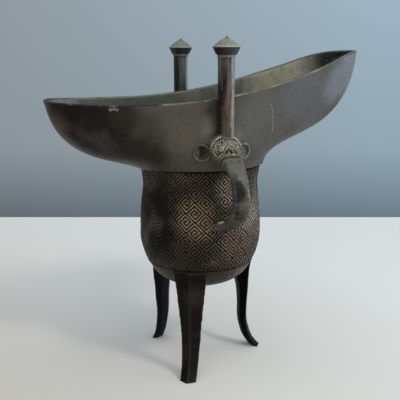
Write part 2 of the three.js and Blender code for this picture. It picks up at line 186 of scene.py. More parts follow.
# %% Floor finish
floor_finish = bpy.data.materials.new("pale pressed felt")
floor_finish.use_nodes = True
tree = floor_finish.node_tree
shader = tree.nodes["Principled BSDF"]
floor_colours = [(0, "c0b7ac"), (1, "e0e0dd"), (0.5, "d9d5cf")]
floor_colour = drifting_colour(tree, floor_colours, ahead + aside, FLOOR_DRIFT)
fibres = add(tree, "ShaderNodeTexNoise", {"Scale": 1 / (FIBRE_MM * MM), "Detail": 3})
fuzz = add(tree, "ShaderNodeBump", {"Height": fibres.outputs["Fac"], "Distance": 0.3 * MM, "Strength": 0.4})
tree.links.new(floor_colour, shader.inputs["Base Color"])
tree.links.new(fuzz.outputs["Normal"], shader.inputs["Normal"])
shader.inputs["Roughness"].default_value = 0.95
shader.inputs["Specular IOR Level"].default_value = 0.1
print("floor:", len(tree.nodes), "nodes, grain of", FIBRE_MM, "mm")

# %% [markdown]
# The backdrop is a board with matt paint. Two ramps run up it, one for its left end and one for its
# right, and a third runs along it and blends them. Rays from the camera, in reflections and through
# clear things meet it as a glow of just that colour, however the lamps are set; all other light meets
# paint.

# %% Backdrop finish
backdrop_finish = bpy.data.materials.new("matt paint on board")
backdrop_finish.use_nodes = True
tree = backdrop_finish.node_tree
shader = tree.nodes["Principled BSDF"]
# Both ramps darken downwards: painted shade on the backdrop
left_colours = [(0, "626b70"), (1, "919ba2"), (0.35, "8b949a")]
right_colours = [(0, "697b88"), (1, "9fb4c2"), (0.35, "92a6b3")]
left = drifting_colour(tree, left_colours, upward, BACKDROP_DRIFT_UP)
right = drifting_colour(tree, right_colours, upward, BACKDROP_DRIFT_UP)
across_backdrop = drifting_colour(tree, [(0, "000000"), (1, "ffffff")], aside, BACKDROP_DRIFT_ASIDE)
paint = add(tree, "ShaderNodeMix", {0: across_backdrop, 6: left, 7: right}, data_type="RGBA")
ray = add(tree, "ShaderNodeLightPath").outputs
seen = add(tree, "ShaderNodeMath", {0: ray["Is Camera Ray"], 1: ray["Is Glossy Ray"]}, operation="MAXIMUM")
seen = add(tree, "ShaderNodeMath", {0: seen.outputs[0], 1: ray["Is Transmission Ray"]}, operation="MAXIMUM")
glow = add(tree, "ShaderNodeEmission", {"Color": paint.outputs[2], "Strength": 1.0})
tree.links.new(paint.outputs[2], shader.inputs["Base Color"])
shader.inputs["Roughness"].default_value = 0.95
surface = add(tree, "ShaderNodeMixShader", {0: seen.outputs[0], 1: shader.outputs[0], 2: glow.outputs[0]})
tree.links.new(surface.outputs[0], tree.nodes["Material Output"].inputs["Surface"])
print("backdrop:", len(tree.nodes), "nodes")

# %% [markdown]
# Both are single squares, far wider than the view, so that no edge shows at the sides. They are given
# to the stage and not to the cup.

# %% Floor and backdrop
side = aside * STAGE_HALF_WIDTH
floor_front = cup_axis - ahead * FLOOR_AHEAD
floor_edge = cup_axis + ahead * FLOOR_BEHIND
floor_corners = [floor_front - side, floor_front + side, floor_edge + side, floor_edge - side]
stage_plane("floor", floor_corners, floor_finish)
backdrop_foot = cup_axis + ahead * BACKDROP_BEHIND - upward * BACKDROP_DROP
backdrop_top = cup_axis + ahead * BACKDROP_BEHIND + upward * BACKDROP_RISE
side *= 2
backdrop_corners = [
    backdrop_foot - side, backdrop_foot + side, backdrop_top + side, backdrop_top - side,
]
stage_plane("backdrop", backdrop_corners, backdrop_finish)
print("the backdrop stands", round(BACKDROP_BEHIND / MM), "mm behind the cup")

# %% [markdown]
# The shadows of the feet point away to the left, and a post's shadow is about as long as the post is
# high. That puts the light in front, on the right and 44 degrees up. A square area lamp does it, like
# a studio softbox: a sun would be simpler, but it would leave no soft highlights on round posts. The
# world fills the shadows, more from the softbox's side than from the dark side. A gradient says that,
# and bronze needs it, because a metal is only as lively as what it reflects.

# %% Light
SOFTBOX_SIZE = 0.2
SOFTBOX_WATTS = 4.6
SOFTBOX_DISTANCE = 1.3
FILL_DIM = 0.33
FILL_BRIGHT = 1.6
CUP_MIDDLE_HEIGHT = 0.1
softbox_side = (aside * 0.553 - ahead * 0.463 + upward * 0.691).normalized()

world = bpy.data.worlds.new("soft studio fill")
scene.world = world
world.use_nodes = True
tree = world.node_tree
background = tree.nodes["Background"]
looking = add(tree, "ShaderNodeTexCoord").outputs["Generated"]
bright_side = (aside * 0.85 - ahead * 0.2 + upward * 0.5).normalized()
facing = add(tree, "ShaderNodeVectorMath", {0: looking, 1: bright_side}, operation="DOT_PRODUCT")
fill = add(tree, "ShaderNodeMapRange", {
    "Value": facing.outputs["Value"],
    "From Min": -0.9,
    "From Max": 0.9,
    "To Min": FILL_DIM,
    "To Max": FILL_BRIGHT,
}, interpolation_type="SMOOTHSTEP")
tree.links.new(fill.outputs["Result"], background.inputs["Strength"])
background.inputs["Color"].default_value = colour("e4ebf0")
cup_middle = cup_axis + upward * CUP_MIDDLE_HEIGHT
softbox_data = bpy.data.lights.new("softbox", "AREA")
softbox_data.shape = "SQUARE"
softbox_data.size = SOFTBOX_SIZE
softbox_data.energy = SOFTBOX_WATTS
softbox_data.color = colour("fff6ea")[:3]
softbox = bpy.data.objects.new("softbox", softbox_data)
scene.collection.objects.link(softbox)
softbox.location = cup_middle + softbox_side * SOFTBOX_DISTANCE
softbox.rotation_euler = (-softbox_side).to_track_quat("-Z", "Y").to_euler()
print("softbox height over the floor:", round(softbox.location.z, 2), "m")

# %% [markdown]
# A few helpers serve every piece. The first turns a mesh into a finished piece: it stands in for one
# casting of the frame and rides on the same body. Another softens a casting of the frame. Cast and
# handled bronze has no knife edges, and a bevel can't follow the odd triangles that cutting leaves,
# so the solid is covered by an even skin of small squares and then smoothed a few times.

# %% Helpers for pieces
EDGE_ANGLE = math.radians(38)


def settle(name, mesh, node):
    """Makes a mesh the piece that stands for one casting of the frame."""
    mesh.shade_smooth()
    mesh.set_sharp_from_angle(angle=EDGE_ANGLE)
    piece = bpy.data.objects.new(name, mesh)
    scene.collection.objects.link(piece)
    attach(piece, "root")
    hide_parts(node)
    triangles = sum(len(face.vertices) - 2 for face in mesh.polygons)
    print(f"{name}: {triangles} triangles")


def plain_mesh(name, owner):
    """The evaluated shape of an object as a mesh of its own; the object itself is removed."""
    graph = bpy.context.evaluated_depsgraph_get()
    mesh = bpy.data.meshes.new_from_object(owner.evaluated_get(graph))
    mesh.name = name
    bpy.data.objects.remove(owner)
    return mesh


def softened(node, square_mm, rounds):
    """A casting of the frame under an even skin of small squares, with its edges worn round."""
    owner = bpy.data.objects.new(node + " skin", nodes[node].data.copy())
    scene.collection.objects.link(owner)
    weld = owner.modifiers.new("weld", "WELD")
    weld.merge_threshold = 0.001 * MM
    even = owner.modifiers.new("even skin", "REMESH")
    even.mode = "VOXEL"
    even.voxel_size = square_mm * MM
    worn = owner.modifiers.new("worn", "SMOOTH")
    worn.iterations = rounds
    mesh = plain_mesh(node, owner)
    mesh.materials.clear()
    return mesh


print("helpers ready, edges above", round(math.degrees(EDGE_ANGLE)), "degrees stay sharp")

# %% [markdown]
# Four more work on points. One closes rings of points into a shell, and one reads a mesh as tables of
# numbers, which is much faster than point by point. The next compares each point with a smoothed copy
# of the piece: what stands proud gets rubbed bright and what lies deep keeps its dirt, so a material
# can read that number for wear along edges. The last one gives a skin the slow swells and dents of a
# hand-made mould.

# %% Helpers for surfaces


def ring_faces(rings, size, first=0, close=False):
    """Squares between rings of equal size, that follow each other in the list of points."""
    faces = []
    for row in range(rings if close else rings - 1):
        for k in range(size):
            low, high = first + row * size, first + (row + 1) % rings * size
            faces.append((low + k, low + (k + 1) % size, high + (k + 1) % size, high + k))
    return faces


def point_values(mesh):
    """Places and normals of a mesh's points as two tables, three numbers a point."""
    places = np.empty(len(mesh.vertices) * 3)
    normals = np.empty(len(mesh.vertices) * 3)
    mesh.vertices.foreach_get("co", places)
    mesh.vertices.foreach_get("normal", normals)
    return places.reshape(-1, 3), normals.reshape(-1, 3)


def mark_crests(mesh, rounds, full_mm):
    """Stores how far each point stands proud of its surroundings, from -1 in a hollow to 1."""
    places, normals = point_values(mesh)
    edges = np.empty(len(mesh.edges) * 2, dtype=np.int64)
    mesh.edges.foreach_get("vertices", edges)
    a, b = edges.reshape(-1, 2).T
    ways = np.bincount(np.concatenate([a, b]), minlength=len(places))[:, None]
    smooth = places.copy()
    for _ in range(rounds):
        total = np.zeros_like(smooth)
        for axis in range(3):
            total[:, axis] = np.bincount(a, smooth[b, axis], len(places))
            total[:, axis] += np.bincount(b, smooth[a, axis], len(places))
        smooth = total / ways
    proud = np.einsum("ij,ij->i", places - smooth, normals) / (full_mm * MM)
    crest = mesh.attributes.new("crest", "FLOAT", "POINT")
    crest.data.foreach_set("value", np.clip(proud, -1, 1))


def unevened(mesh, size_mm, depth_mm):
    """Swells and dents a mesh by a slow noise, like a wall that was scraped to shape by eye."""
    places, normals = point_values(mesh)
    swell = np.array([noise.noise(Vector(place) / (size_mm * MM)) for place in places])
    places += normals * swell[:, None] * depth_mm * MM
    mesh.vertices.foreach_set("co", places.ravel())
    mesh.update()


print("a shell of three rings of four has", len(ring_faces(3, 4, close=True)), "faces")

# %% [markdown]
# Old bronze isn't one colour. The cast metal is brown under a thin mineral crust; handling rubs the
# crust off the high places and dirt stays in the low ones. Painting a picture of that on each piece
# would need a map and fit one piece only, so one recipe serves every casting: broad clouds of tone,
# finer mottling, specks, thin pale veins and a cast grain, all at real sizes in millimetres. Zones
# are places that are browner, paler or blacker, each a ball with a soft ragged edge, given by its
# middle in millimetres from the foot of the cup's axis, its reach and its edge. Some are the crust's
# own colour, and some are painted light and shade: paler where the light falls, darker on the side
# away from it. More such balls lie over the mottling, and they too hold real staining as well as
# painted shade and a painted shadow. Carved pieces name two more colours, one for what stands
# proud and one for what lies deep. A streaked piece is drawn out upwards, and its zones with it.

# %% Bronze patina
VEIN_MM = 2.2
STAIN_AND_SHADE_STRENGTH = 0.8
RAGGEDNESS = 3


def patina(name, tone, dark, pale, zones=(), rub=None, stains_and_shade=(), cloud_mm=16, mottle_mm=3.2,
           grain_mm=0.5, streak=1, contrast=1.0, specks=0.0, veins=0.0, metallic=0.2, roughness=0.48,
           gleam=0.2, pit_mm=0.08):
    """Patinated bronze: a tone with zones of tone and of painted light and shade, mottling, veins, rubbed
    crests and, over all, spots of stain and of painted shade.
    """
    material = bpy.data.materials.new(name)
    material.use_nodes = True
    tree = material.node_tree
    shader = tree.nodes["Principled BSDF"]
    place = add(tree, "ShaderNodeTexCoord").outputs["Object"]
    drawn = add(tree, "ShaderNodeMapping", {
        "Vector": place,
        "Location": [-v / MM for v in cup_axis[:2]] + [-cup_axis[2] / MM / streak],
        "Scale": (1 / MM, 1 / MM, 1 / MM / streak),
    }).outputs["Vector"]
    clouds = add(tree, "ShaderNodeTexNoise", {"Vector": drawn, "Scale": 1 / cloud_mm, "Detail": 4})
    mottle = add(tree, "ShaderNodeTexNoise", {"Vector": drawn, "Scale": 1 / mottle_mm, "Detail": 5})
    grain = add(tree, "ShaderNodeTexNoise", {"Vector": drawn, "Scale": 1 / grain_mm, "Detail": 2})
    web = add(tree, "ShaderNodeTexNoise", {"Vector": drawn, "Scale": 1 / VEIN_MM, "Detail": 3})
    off_vein = add(tree, "ShaderNodeMath", {0: web.outputs["Fac"], 1: 0.5}, operation="SUBTRACT")
    off_vein = add(tree, "ShaderNodeMath", {0: off_vein.outputs[0]}, operation="ABSOLUTE")
    uneven = add(tree, "ShaderNodeMath", {
        0: mottle.outputs["Fac"],
        1: 0.35,
        2: clouds.outputs["Fac"],
    }, operation="MULTIPLY_ADD")

    # Every layer is what its share is read from, from where to where, how strong, and its colour
    layers = []
    for strength, spots in ((1.0, zones), (STAIN_AND_SHADE_STRENGTH, stains_and_shade)):
        for hex_code, (x, y, z), reach, edge in spots:
            middle = (x, y, z / streak)
            distance = add(tree, "ShaderNodeVectorMath", {0: drawn, 1: middle}, operation="DISTANCE")
            ragged = add(tree, "ShaderNodeMath", {
                0: uneven.outputs[0],
                1: edge * RAGGEDNESS,
                2: distance.outputs["Value"],
            }, operation="MULTIPLY_ADD")
            layers.append((ragged.outputs[0], reach + edge * RAGGEDNESS, reach + edge, strength, hex_code))
    crust = [
        (mottle.outputs["Fac"], 0.5, 0.72, 0.75 * contrast, dark),
        (clouds.outputs["Fac"], 0.5, 0.68, 0.7 * contrast, pale),
        (grain.outputs["Fac"], 0.56, 0.68, specks, pale),
        (off_vein.outputs[0], 0.03, 0, veins, pale),
    ]
    if rub:
        proud = add(tree, "ShaderNodeAttribute", attribute_name="crest").outputs["Fac"]
        crust += [(proud, most / 8, most, 0.9, hex_code) for hex_code, most in zip(rub, (0.6, -0.6))]
    layers[len(zones):len(zones)] = crust
    result = colour(tone)
    for source, start, full, strength, hex_code in layers:
        share = add(tree, "ShaderNodeMapRange", {
            "Value": source,
            "From Min": start,
            "From Max": full,
            "To Max": strength,
        }, interpolation_type="SMOOTHSTEP")
        both = {0: share.outputs[0], 6: result, 7: colour(hex_code)}
        result = add(tree, "ShaderNodeMix", both, data_type="RGBA").outputs[2]
    gloss = add(tree, "ShaderNodeMapRange", {
        "Value": mottle.outputs["Fac"],
        "From Min": 0.3,
        "From Max": 0.7,
        "To Min": roughness - 0.08,
        "To Max": roughness + 0.12,
    })
    pits = add(tree, "ShaderNodeBump", {
        "Height": grain.outputs["Fac"],
        "Distance": pit_mm * MM,
        "Strength": 0.6,
    })
    tree.links.new(result, shader.inputs["Base Color"])
    tree.links.new(gloss.outputs[0], shader.inputs["Roughness"])
    tree.links.new(pits.outputs["Normal"], shader.inputs["Normal"])
    shader.inputs["Metallic"].default_value = metallic
    shader.inputs["Specular IOR Level"].default_value = gleam
    return material


print("patina recipe ready")

# %% [markdown]
# The belly is a deep cup. On the real one a band of key pattern, cast with the metal, covers it from
# the border line up to the joint, and the bottom below is plain. The CAD belly is right but faceted,
# so its outline is felt with a fan of rays from outside and from the middle, smoothed, and revolved
# again with many sides. That keeps the casting exactly where the frame has it.

# %% Belly outline, felt from the frame
FAN = 180
SMOOTHING = 4
FEELER_HEIGHT = 88 * MM
PAST_JOINT = 0.03
border_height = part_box("leg_near")[1][2]
joint_height = belly_high.z
belly_mesh = nodes["belly"].data
belly_tree = BVHTree.FromPolygons(
    [v.co - cup_axis for v in belly_mesh.vertices],
    [tuple(face.vertices) for face in belly_mesh.polygons],
)


def felt_outline(from_inside):
    """The belly's outline as radius and height, from the bottom on the axis up to the joint."""
    eye = Vector((0, 0, FEELER_HEIGHT))
    far = 0.2
    radius_at_joint = (belly_high.x - belly_low.x) / 2
    top = math.atan2(joint_height - FEELER_HEIGHT, radius_at_joint) + (PAST_JOINT if from_inside else 0)
    points = []
    for i in range(FAN + 1):
        angle = -math.pi / 2 + 0.002 + (top - 0.002 + math.pi / 2) * i / FAN
        ray = Vector((math.cos(angle), 0.0001, math.sin(angle))).normalized()
        start, way = (eye, ray) if from_inside else (eye + ray * far, -ray)
        hit = belly_tree.ray_cast(start, way)[0]
        if hit:
            points.append((hit.x, hit.z))
    smooth = []
    for i in range(len(points)):
        reach = min(SMOOTHING, i, len(points) - 1 - i)
        near = points[i - reach:i + reach + 1]
        smooth.append((sum(p[0] for p in near) / len(near), sum(p[1] for p in near) / len(near)))
    return smooth


outer_outline = felt_outline(False)
inner_outline = felt_outline(True)
print("outline points:", len(outer_outline), len(inner_outline),
      "joint radius mm", round(outer_outline[-1][0] / MM, 2))

# %% [markdown]
# The band's pattern is leiwen, a lattice of diamonds that each hold a square spiral, with a column of
# nested chevrons now and then. A bump texture would vanish at the outline, and displacing a plain
# grid would give ragged ridges. All its lines run at 45 degrees, so the band is laid out as a net of
# small squares that stand on their corners, one line wide. A ridge is then simply a chain of squares
# that stand up. Every square remembers its count along both diagonals for the next step.

# %% Belly net
COLUMNS = 200
LINE_COUNT = 10
FIRST_SPIRAL = math.radians(-122.4)
PHASE_ROWS = 4
BAND_MARGIN_ROWS = 2
WAVER_MM = 0.16
WAVER_SEED = 7
BORDER_LINE_MM = 0.35
BAND_RADIUS = 34 * MM
half_angle = math.pi / COLUMNS
half_row = half_angle * BAND_RADIUS


def resample(outline, start, step):
    """Points at even steps along an outline, from the height start to its end."""
    lengths = [0.0]
    for before, after in zip(outline, outline[1:]):
        lengths.append(lengths[-1] + math.dist(before, after))
    first = next(i for i, point in enumerate(outline) if point[1] >= start)
    count = round((lengths[-1] - lengths[first]) / step)
    points = []
    i = first
    for k in range(count + 1):
        wanted = lengths[first] + (lengths[-1] - lengths[first]) * k / count
        while i < len(outline) - 2 and lengths[i + 1] < wanted:
            i += 1
        share = (wanted - lengths[i]) / (lengths[i + 1] - lengths[i])
        points.append(tuple(a + (b - a) * share for a, b in zip(outline[i], outline[i + 1])))
    return points


band = resample(outer_outline, border_height, half_row)
rows = len(band)


def ring(radius, height, turn=0.0):
    return [
        Vector((radius * math.cos(a), radius * math.sin(a), height))
        for a in (FIRST_SPIRAL + turn + 2 * half_angle * k for k in range(COLUMNS))
    ]


# Vector noise would start from the clock, so a fixed seed makes every run the same
noise.seed_set(WAVER_SEED)


def wavered(point):
    """Hand-cut lines waver a little, so the net is pulled about by a slow noise."""
    pull = noise.noise_vector(point / (5 * MM))
    pull.z *= 0.8
    out = Vector((point.x, point.y, 0)).normalized()
    pull -= out * pull.dot(out)
    return point + pull * WAVER_MM * MM


points = []
for row, (radius, height) in enumerate(band):
    loop = ring(radius, height, (row % 2) * half_angle)
    points += [wavered(p) for p in loop] if 1 < row < rows - 2 else loop
print("net:", rows, "rows of", COLUMNS, "points")

# %% [markdown]
# Four points make a square on its corner: one below, one above and one on each side, in the rows
# between. At the band's two edges a corner is missing, and the square is half a one. The plain
# margins at the edges count as nought, so that no ridge stands there.

# %% Squares of the net


def net_point(row, half):
    return row * COLUMNS + (half - row % 2) // 2 % COLUMNS


faces, along, across = [], [], []
for row in range(rows):
    for half in range(2 * COLUMNS):
        if (row + half) % 2 == 0:
            continue
        corners = [net_point(row, half + 1), net_point(row, half - 1)]
        if row > 0:
            corners.insert(0, net_point(row - 1, half))
        if row < rows - 1:
            corners.insert(-1, net_point(row + 1, half))
        faces.append(corners)
        plain = row < BAND_MARGIN_ROWS or row >= rows - 2 * BAND_MARGIN_ROWS
        along.append(0 if plain else (half + row - PHASE_ROWS - 1) // 2 + COLUMNS * 2)
        across.append(0 if plain else (row - PHASE_ROWS - half - 1) // 2 + COLUMNS * 2)
band_faces = len(faces)
print("net:", band_faces, "squares of", round(half_row * math.sqrt(2) / MM, 2), "mm")

# %% [markdown]
# Below the net the plain bottom closes to a pole, with a thin raised line at the border. Inside, the
# lining follows the felt inner outline, and both meet at the flat top of the joint.

# %% Belly bottom and lining
BOTTOM_STEP = 1.6 * MM


def revolve_down(outline, first_ring, turn, inward):
    """Adds rings from an existing ring along an outline and closes them with a pole on the axis."""
    start = first_ring
    for radius, height in outline[:-1]:
        index = len(points)
        points.extend(ring(radius, height, turn))
        for k in range(COLUMNS):
            a, b = start + k, start + (k + 1) % COLUMNS
            c, d = index + (k + 1) % COLUMNS, index + k
            faces.append((a, b, c, d) if inward else (b, a, d, c))
        start = index
    points.append(Vector((0, 0, outline[-1][1])))
    for k in range(COLUMNS):
        a, b = start + k, start + (k + 1) % COLUMNS
        faces.append((a, b, len(points) - 1) if inward else (b, a, len(points) - 1))


bottom = [point for point in outer_outline if point[1] < border_height]
bottom = resample(bottom, 0, BOTTOM_STEP)
edge_radius, edge_height = band[0]
line = [
    (edge_radius + BORDER_LINE_MM * MM, edge_height - 0.1 * MM),
    (edge_radius + (BORDER_LINE_MM - 0.1) * MM, edge_height - 0.55 * MM),
    (edge_radius - 0.25 * MM, edge_height - 0.75 * MM),
]
bottom_profile = line + [p for p in reversed(bottom) if p[1] < edge_height - 1.2 * MM]
revolve_down(bottom_profile, 0, 0.0, False)
lining = resample(inner_outline, 0, BOTTOM_STEP)
top_turn = ((rows - 1) % 2) * half_angle
revolve_down(list(reversed(lining)), (rows - 1) * COLUMNS, top_turn, True)
belly_base = bpy.data.meshes.new("belly")
belly_base.from_pydata([p + cup_axis for p in points], [], faces)
for name, values in (("along", along), ("across", across)):
    attribute = belly_base.attributes.new(name, "INT", "FACE")
    attribute.data.foreach_set("value", values + [0] * (len(faces) - band_faces))
print("belly base:", len(points), "points,", len(faces), "faces")

# %% [markdown]
# Geometry Nodes decide which squares stand up, because the rule can be written once for all of them.
# A square spiral is a set of nested squares whose lower halves are moved by one line: in the upper
# half the even rings are ridges, in the lower half the odd ones round the moved centre. Every second
# diamond is turned by half a turn, so that two spirals share the arm between them, and every fourth
# column gets chevrons.

# %% Key lattice rule
tree = bpy.data.node_groups.new("key lattice", "GeometryNodeTree")
for name, kind in (("Geometry", "Geometry"), ("Lines", "Int"), ("Relief", "Float"), ("Wear size", "Float"),
                   ("Rubbed", "Material"), ("Ground", "Material")):
    tree.interface.new_socket(name, in_out="INPUT", socket_type="NodeSocket" + kind)
tree.interface.new_socket("Geometry", in_out="OUTPUT", socket_type="NodeSocketGeometry")
given = add(tree, "NodeGroupInput").outputs
up = add(tree, "GeometryNodeInputNamedAttribute", {"Name": "along"}, data_type="INT").outputs["Attribute"]
down = add(tree, "GeometryNodeInputNamedAttribute", {"Name": "across"}, data_type="INT").outputs["Attribute"]
lines = given["Lines"]
step_up = add(tree, "ShaderNodeMath", {0: up, 1: lines}, operation="FLOORED_MODULO").outputs[0]
step_down = add(tree, "ShaderNodeMath", {0: down, 1: lines}, operation="FLOORED_MODULO").outputs[0]
cells_up = add(tree, "ShaderNodeMath", {0: up, 1: lines}, operation="DIVIDE").outputs[0]
cells_down = add(tree, "ShaderNodeMath", {0: down, 1: lines}, operation="DIVIDE").outputs[0]
cell_up = add(tree, "ShaderNodeMath", {0: cells_up}, operation="FLOOR").outputs[0]
cell_down = add(tree, "ShaderNodeMath", {0: cells_down}, operation="FLOOR").outputs[0]

# Every fourth column holds chevrons, and every second diamond is turned by half a turn
column = add(tree, "ShaderNodeMath", {0: cell_up, 1: cell_down}, operation="SUBTRACT").outputs[0]
of_four = add(tree, "ShaderNodeMath", {0: column, 1: 4.0}, operation="FLOORED_MODULO").outputs[0]
chevron = add(tree, "ShaderNodeMath", {0: of_four, 1: 3.0, 2: 0.1}, operation="COMPARE").outputs[0]
both = add(tree, "ShaderNodeMath", {0: cell_up, 1: cell_down}, operation="ADD").outputs[0]
odd = add(tree, "ShaderNodeMath", {0: both, 1: 2.0}, operation="FLOORED_MODULO").outputs[0]
turn = add(tree, "ShaderNodeMath", {0: odd, 1: -2.0, 2: 1.0}, operation="MULTIPLY_ADD").outputs[0]

# Steps from the middle of a diamond, then the number of the square ring that a step lies on
middle = add(tree, "ShaderNodeMath", {0: lines, 1: 2.0}, operation="DIVIDE").outputs[0]
from_middle_up = add(tree, "ShaderNodeMath", {0: step_up, 1: middle}, operation="SUBTRACT").outputs[0]
from_middle_down = add(tree, "ShaderNodeMath", {0: step_down, 1: middle}, operation="SUBTRACT").outputs[0]
x = add(tree, "ShaderNodeMath", {0: from_middle_up, 1: turn}, operation="MULTIPLY").outputs[0]
y = add(tree, "ShaderNodeMath", {0: from_middle_down, 1: turn}, operation="MULTIPLY").outputs[0]
lower = add(tree, "ShaderNodeMath", {0: y, 1: -0.5}, operation="LESS_THAN").outputs[0]
moved_x = add(tree, "ShaderNodeMath", {0: x, 1: lower}, operation="SUBTRACT").outputs[0]
far_x = add(tree, "ShaderNodeMath", {0: moved_x}, operation="ABSOLUTE").outputs[0]
far_y = add(tree, "ShaderNodeMath", {0: y}, operation="ABSOLUTE").outputs[0]
square = add(tree, "ShaderNodeMath", {0: far_x, 1: far_y}, operation="MAXIMUM").outputs[0]
spiral = add(tree, "ShaderNodeMath", {0: square, 1: lower}, operation="ADD").outputs[0]
left_over = add(tree, "ShaderNodeMath", {0: lines, 1: step_up}, operation="SUBTRACT").outputs[0]
nearer = add(tree, "ShaderNodeMath", {0: left_over, 1: step_down}, operation="MINIMUM").outputs[0]
nested = add(tree, "ShaderNodeMath", {0: nearer, 1: 1.0}, operation="ADD").outputs[0]

# A step is a ridge where its number is even; along one border, shared arms link the spirals in pairs
number = add(tree, "ShaderNodeMix", {0: chevron, 2: spiral, 3: nested}, data_type="FLOAT").outputs[0]
half = add(tree, "ShaderNodeMath", {0: number, 1: 2.0}, operation="FLOORED_MODULO").outputs[0]
even = add(tree, "ShaderNodeMath", {0: half, 1: 0.5}, operation="LESS_THAN").outputs[0]
inside = add(tree, "ShaderNodeMath", {0: step_up, 1: 0.5}, operation="GREATER_THAN").outputs[0]
ridge = add(tree, "ShaderNodeMath", {0: even, 1: inside}, operation="MULTIPLY").outputs[0]
print("key lattice rule:", len(tree.nodes), "nodes")

# %% [markdown]
# The rest of the tree turns that rule into metal. Extruding a whole region at once keeps a ridge one
# piece, with flanks only where it ends. The ridges stand less high where a slow noise says that hands
# have worn them, and their tops get the rubbed finish while their flanks keep the dark one.

# %% Key lattice relief
position = add(tree, "GeometryNodeInputPosition").outputs[0]
wear = add(tree, "ShaderNodeTexNoise", {"Vector": position, "Scale": given["Wear size"], "Detail": 2.0})
height = add(tree, "ShaderNodeMapRange", {
    "Value": wear.outputs["Fac"],
    "From Min": 0.36,
    "From Max": 0.56,
    "To Min": 0.35,
    "To Max": 1.0,
})
relief = add(tree, "ShaderNodeMath", {0: height.outputs[0], 1: given["Relief"]}, operation="MULTIPLY")
raised = add(tree, "GeometryNodeExtrudeMesh", {
    "Mesh": given["Geometry"],
    "Selection": ridge,
    "Offset Scale": relief.outputs[0],
    "Individual": False,
}, mode="FACES")
whole = add(tree, "GeometryNodeRealizeInstances", {"Geometry": raised.outputs["Mesh"]})
grounded = add(tree, "GeometryNodeSetMaterial", {"Geometry": whole.outputs[0], "Material": given["Ground"]})
rubbed = add(tree, "GeometryNodeSetMaterial", {
    "Geometry": grounded.outputs[0],
    "Selection": raised.outputs["Top"],
    "Material": given["Rubbed"],
})
add(tree, "NodeGroupOutput", {"Geometry": rubbed.outputs[0]})
print("key lattice tree:", len(tree.nodes), "nodes")

# %% [markdown]
# The band has two finishes. The ground between the lines is almost black with dirt. The ridges are
# the same bronze rubbed bare: golden olive where hands hold the cup and pinkish grey to the right of
# the handle. On the left, away from the light, the ground is painted black and the ridges nearly as
# dark, as painted shade; on the belly's far right, where the light falls, both are painted paler grey
# as painted light.

# %% Belly finishes
RELIEF_MM = 0.42
WEAR_MM = 13
belly_ground = patina(
    "dirt and dark crust between the cast lines", "15100c", "0a0806", "261f17",
    zones=[
        ("261f1a", (16, -30, 84), 12, 5),
        # Paler on the belly's far right, where the light falls: painted light
        ("5f5952", (25, -24, 95), 13, 8),
        # Black on the left, away from the light: painted shade
        ("050403", (-34, -10, 90), 21, 4),
        ("0e0b08", (-10, -32, 68), 6, 4),
    ],
    roughness=0.6, metallic=0.1, gleam=0.1,
)
belly_ridge = patina(
    "cast bronze lines, rubbed by handling", "3d3429", "1c1610", "655847",
    zones=[
        # These two, dark on the left away from the light, are painted shade
        ("2f2820", (-26, -20, 112), 8, 6),
        ("120e0b", (-36, -9, 90), 21, 5),
        ("86785a", (-14, -32, 93), 10, 5),
        ("695b50", (14, -32, 80), 14, 6),
        ("8a7a72", (8, -34, 110), 9, 4),
        # Pale grey on the far right, where the light falls: painted light
        ("9a938a", (25, -24, 95), 13, 8),
        ("2a2119", (-10, -32, 67), 6, 5),
    ],
    mottle_mm=1.8, specks=0.35, metallic=0.35, roughness=0.4, gleam=0.3,
)
print("belly finishes:", belly_ground.name, "and", belly_ridge.name)

# %% [markdown]
# A tree works as a modifier, and what it makes has to become a plain mesh before the piece is handed
# over. The helper for that serves the beads and the caps too. The bottom and the lining then get a
# third finish, plain brown with a paler place under the belly's right side, which is painted light.

# %% Belly


def with_tree(name, mesh, group, inputs):
    """Runs a Geometry Nodes tree on a mesh and returns the plain mesh that it makes."""
    owner = bpy.data.objects.new(name, mesh)
    scene.collection.objects.link(owner)
    modifier = owner.modifiers.new(group.name, "NODES")
    modifier.node_group = group
    sockets = {item.name: item.identifier for item in group.interface.items_tree if item.in_out == "INPUT"}
    for label, value in inputs.items():
        modifier[sockets[label]] = value
    return plain_mesh(name, owner)


belly_shape = with_tree("belly", belly_base, tree, {
    "Lines": LINE_COUNT,
    "Relief": RELIEF_MM * MM,
    "Wear size": 1 / (WEAR_MM * MM),
    "Rubbed": belly_ridge,
    "Ground": belly_ground,
})
belly_plain = patina(
    "cast bronze, plain and brown", "2c261f", "16110d", "3c352b",
    # The paler place under the right side, where the light falls, is painted light
    zones=[("4d4943", (22, -18, 60), 13, 8)], veins=0.25, roughness=0.42,
)
belly_shape.materials.append(belly_plain)
plain_slot = len(belly_shape.materials) - 1
for face in belly_shape.polygons:
    on_bottom = face.center.z < border_height - 0.05 * MM
    faces_axis = face.normal.dot((face.center - cup_axis) * Vector((1, 1, 0))) < 0
    if on_bottom or faces_axis:
        face.material_index = plain_slot
settle("belly_skin", belly_shape, "belly")

# %% [markdown]
# The mouth is one wide thin sheet. It leaves the joint low and flat under the spout, steep at first
# under the tail and nearly upright at the sides. Each upright line of its wall is a Bezier curve
# between two rules: a circle at the joint, and a rim that is a superellipse from above and a smooth
# line from the side. The frame's casting has far fewer such lines, and rounding its facets would
# leave dents, so the same rules are drawn again with many. The rim comes first.

# %% Mouth rim
TAIL_LIFT = 26.7
SPOUT_LIFT = 1.2
SPOUT_ROUNDNESS = 2.9
TAIL_ROUNDNESS = 2.35
HALF_WIDTH = 33.1
mouth_low, mouth_high = ((Vector(corner) - cup_axis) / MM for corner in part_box("mouth_bowl"))
joint = joint_height / MM
rim_level = mouth_high.z - TAIL_LIFT


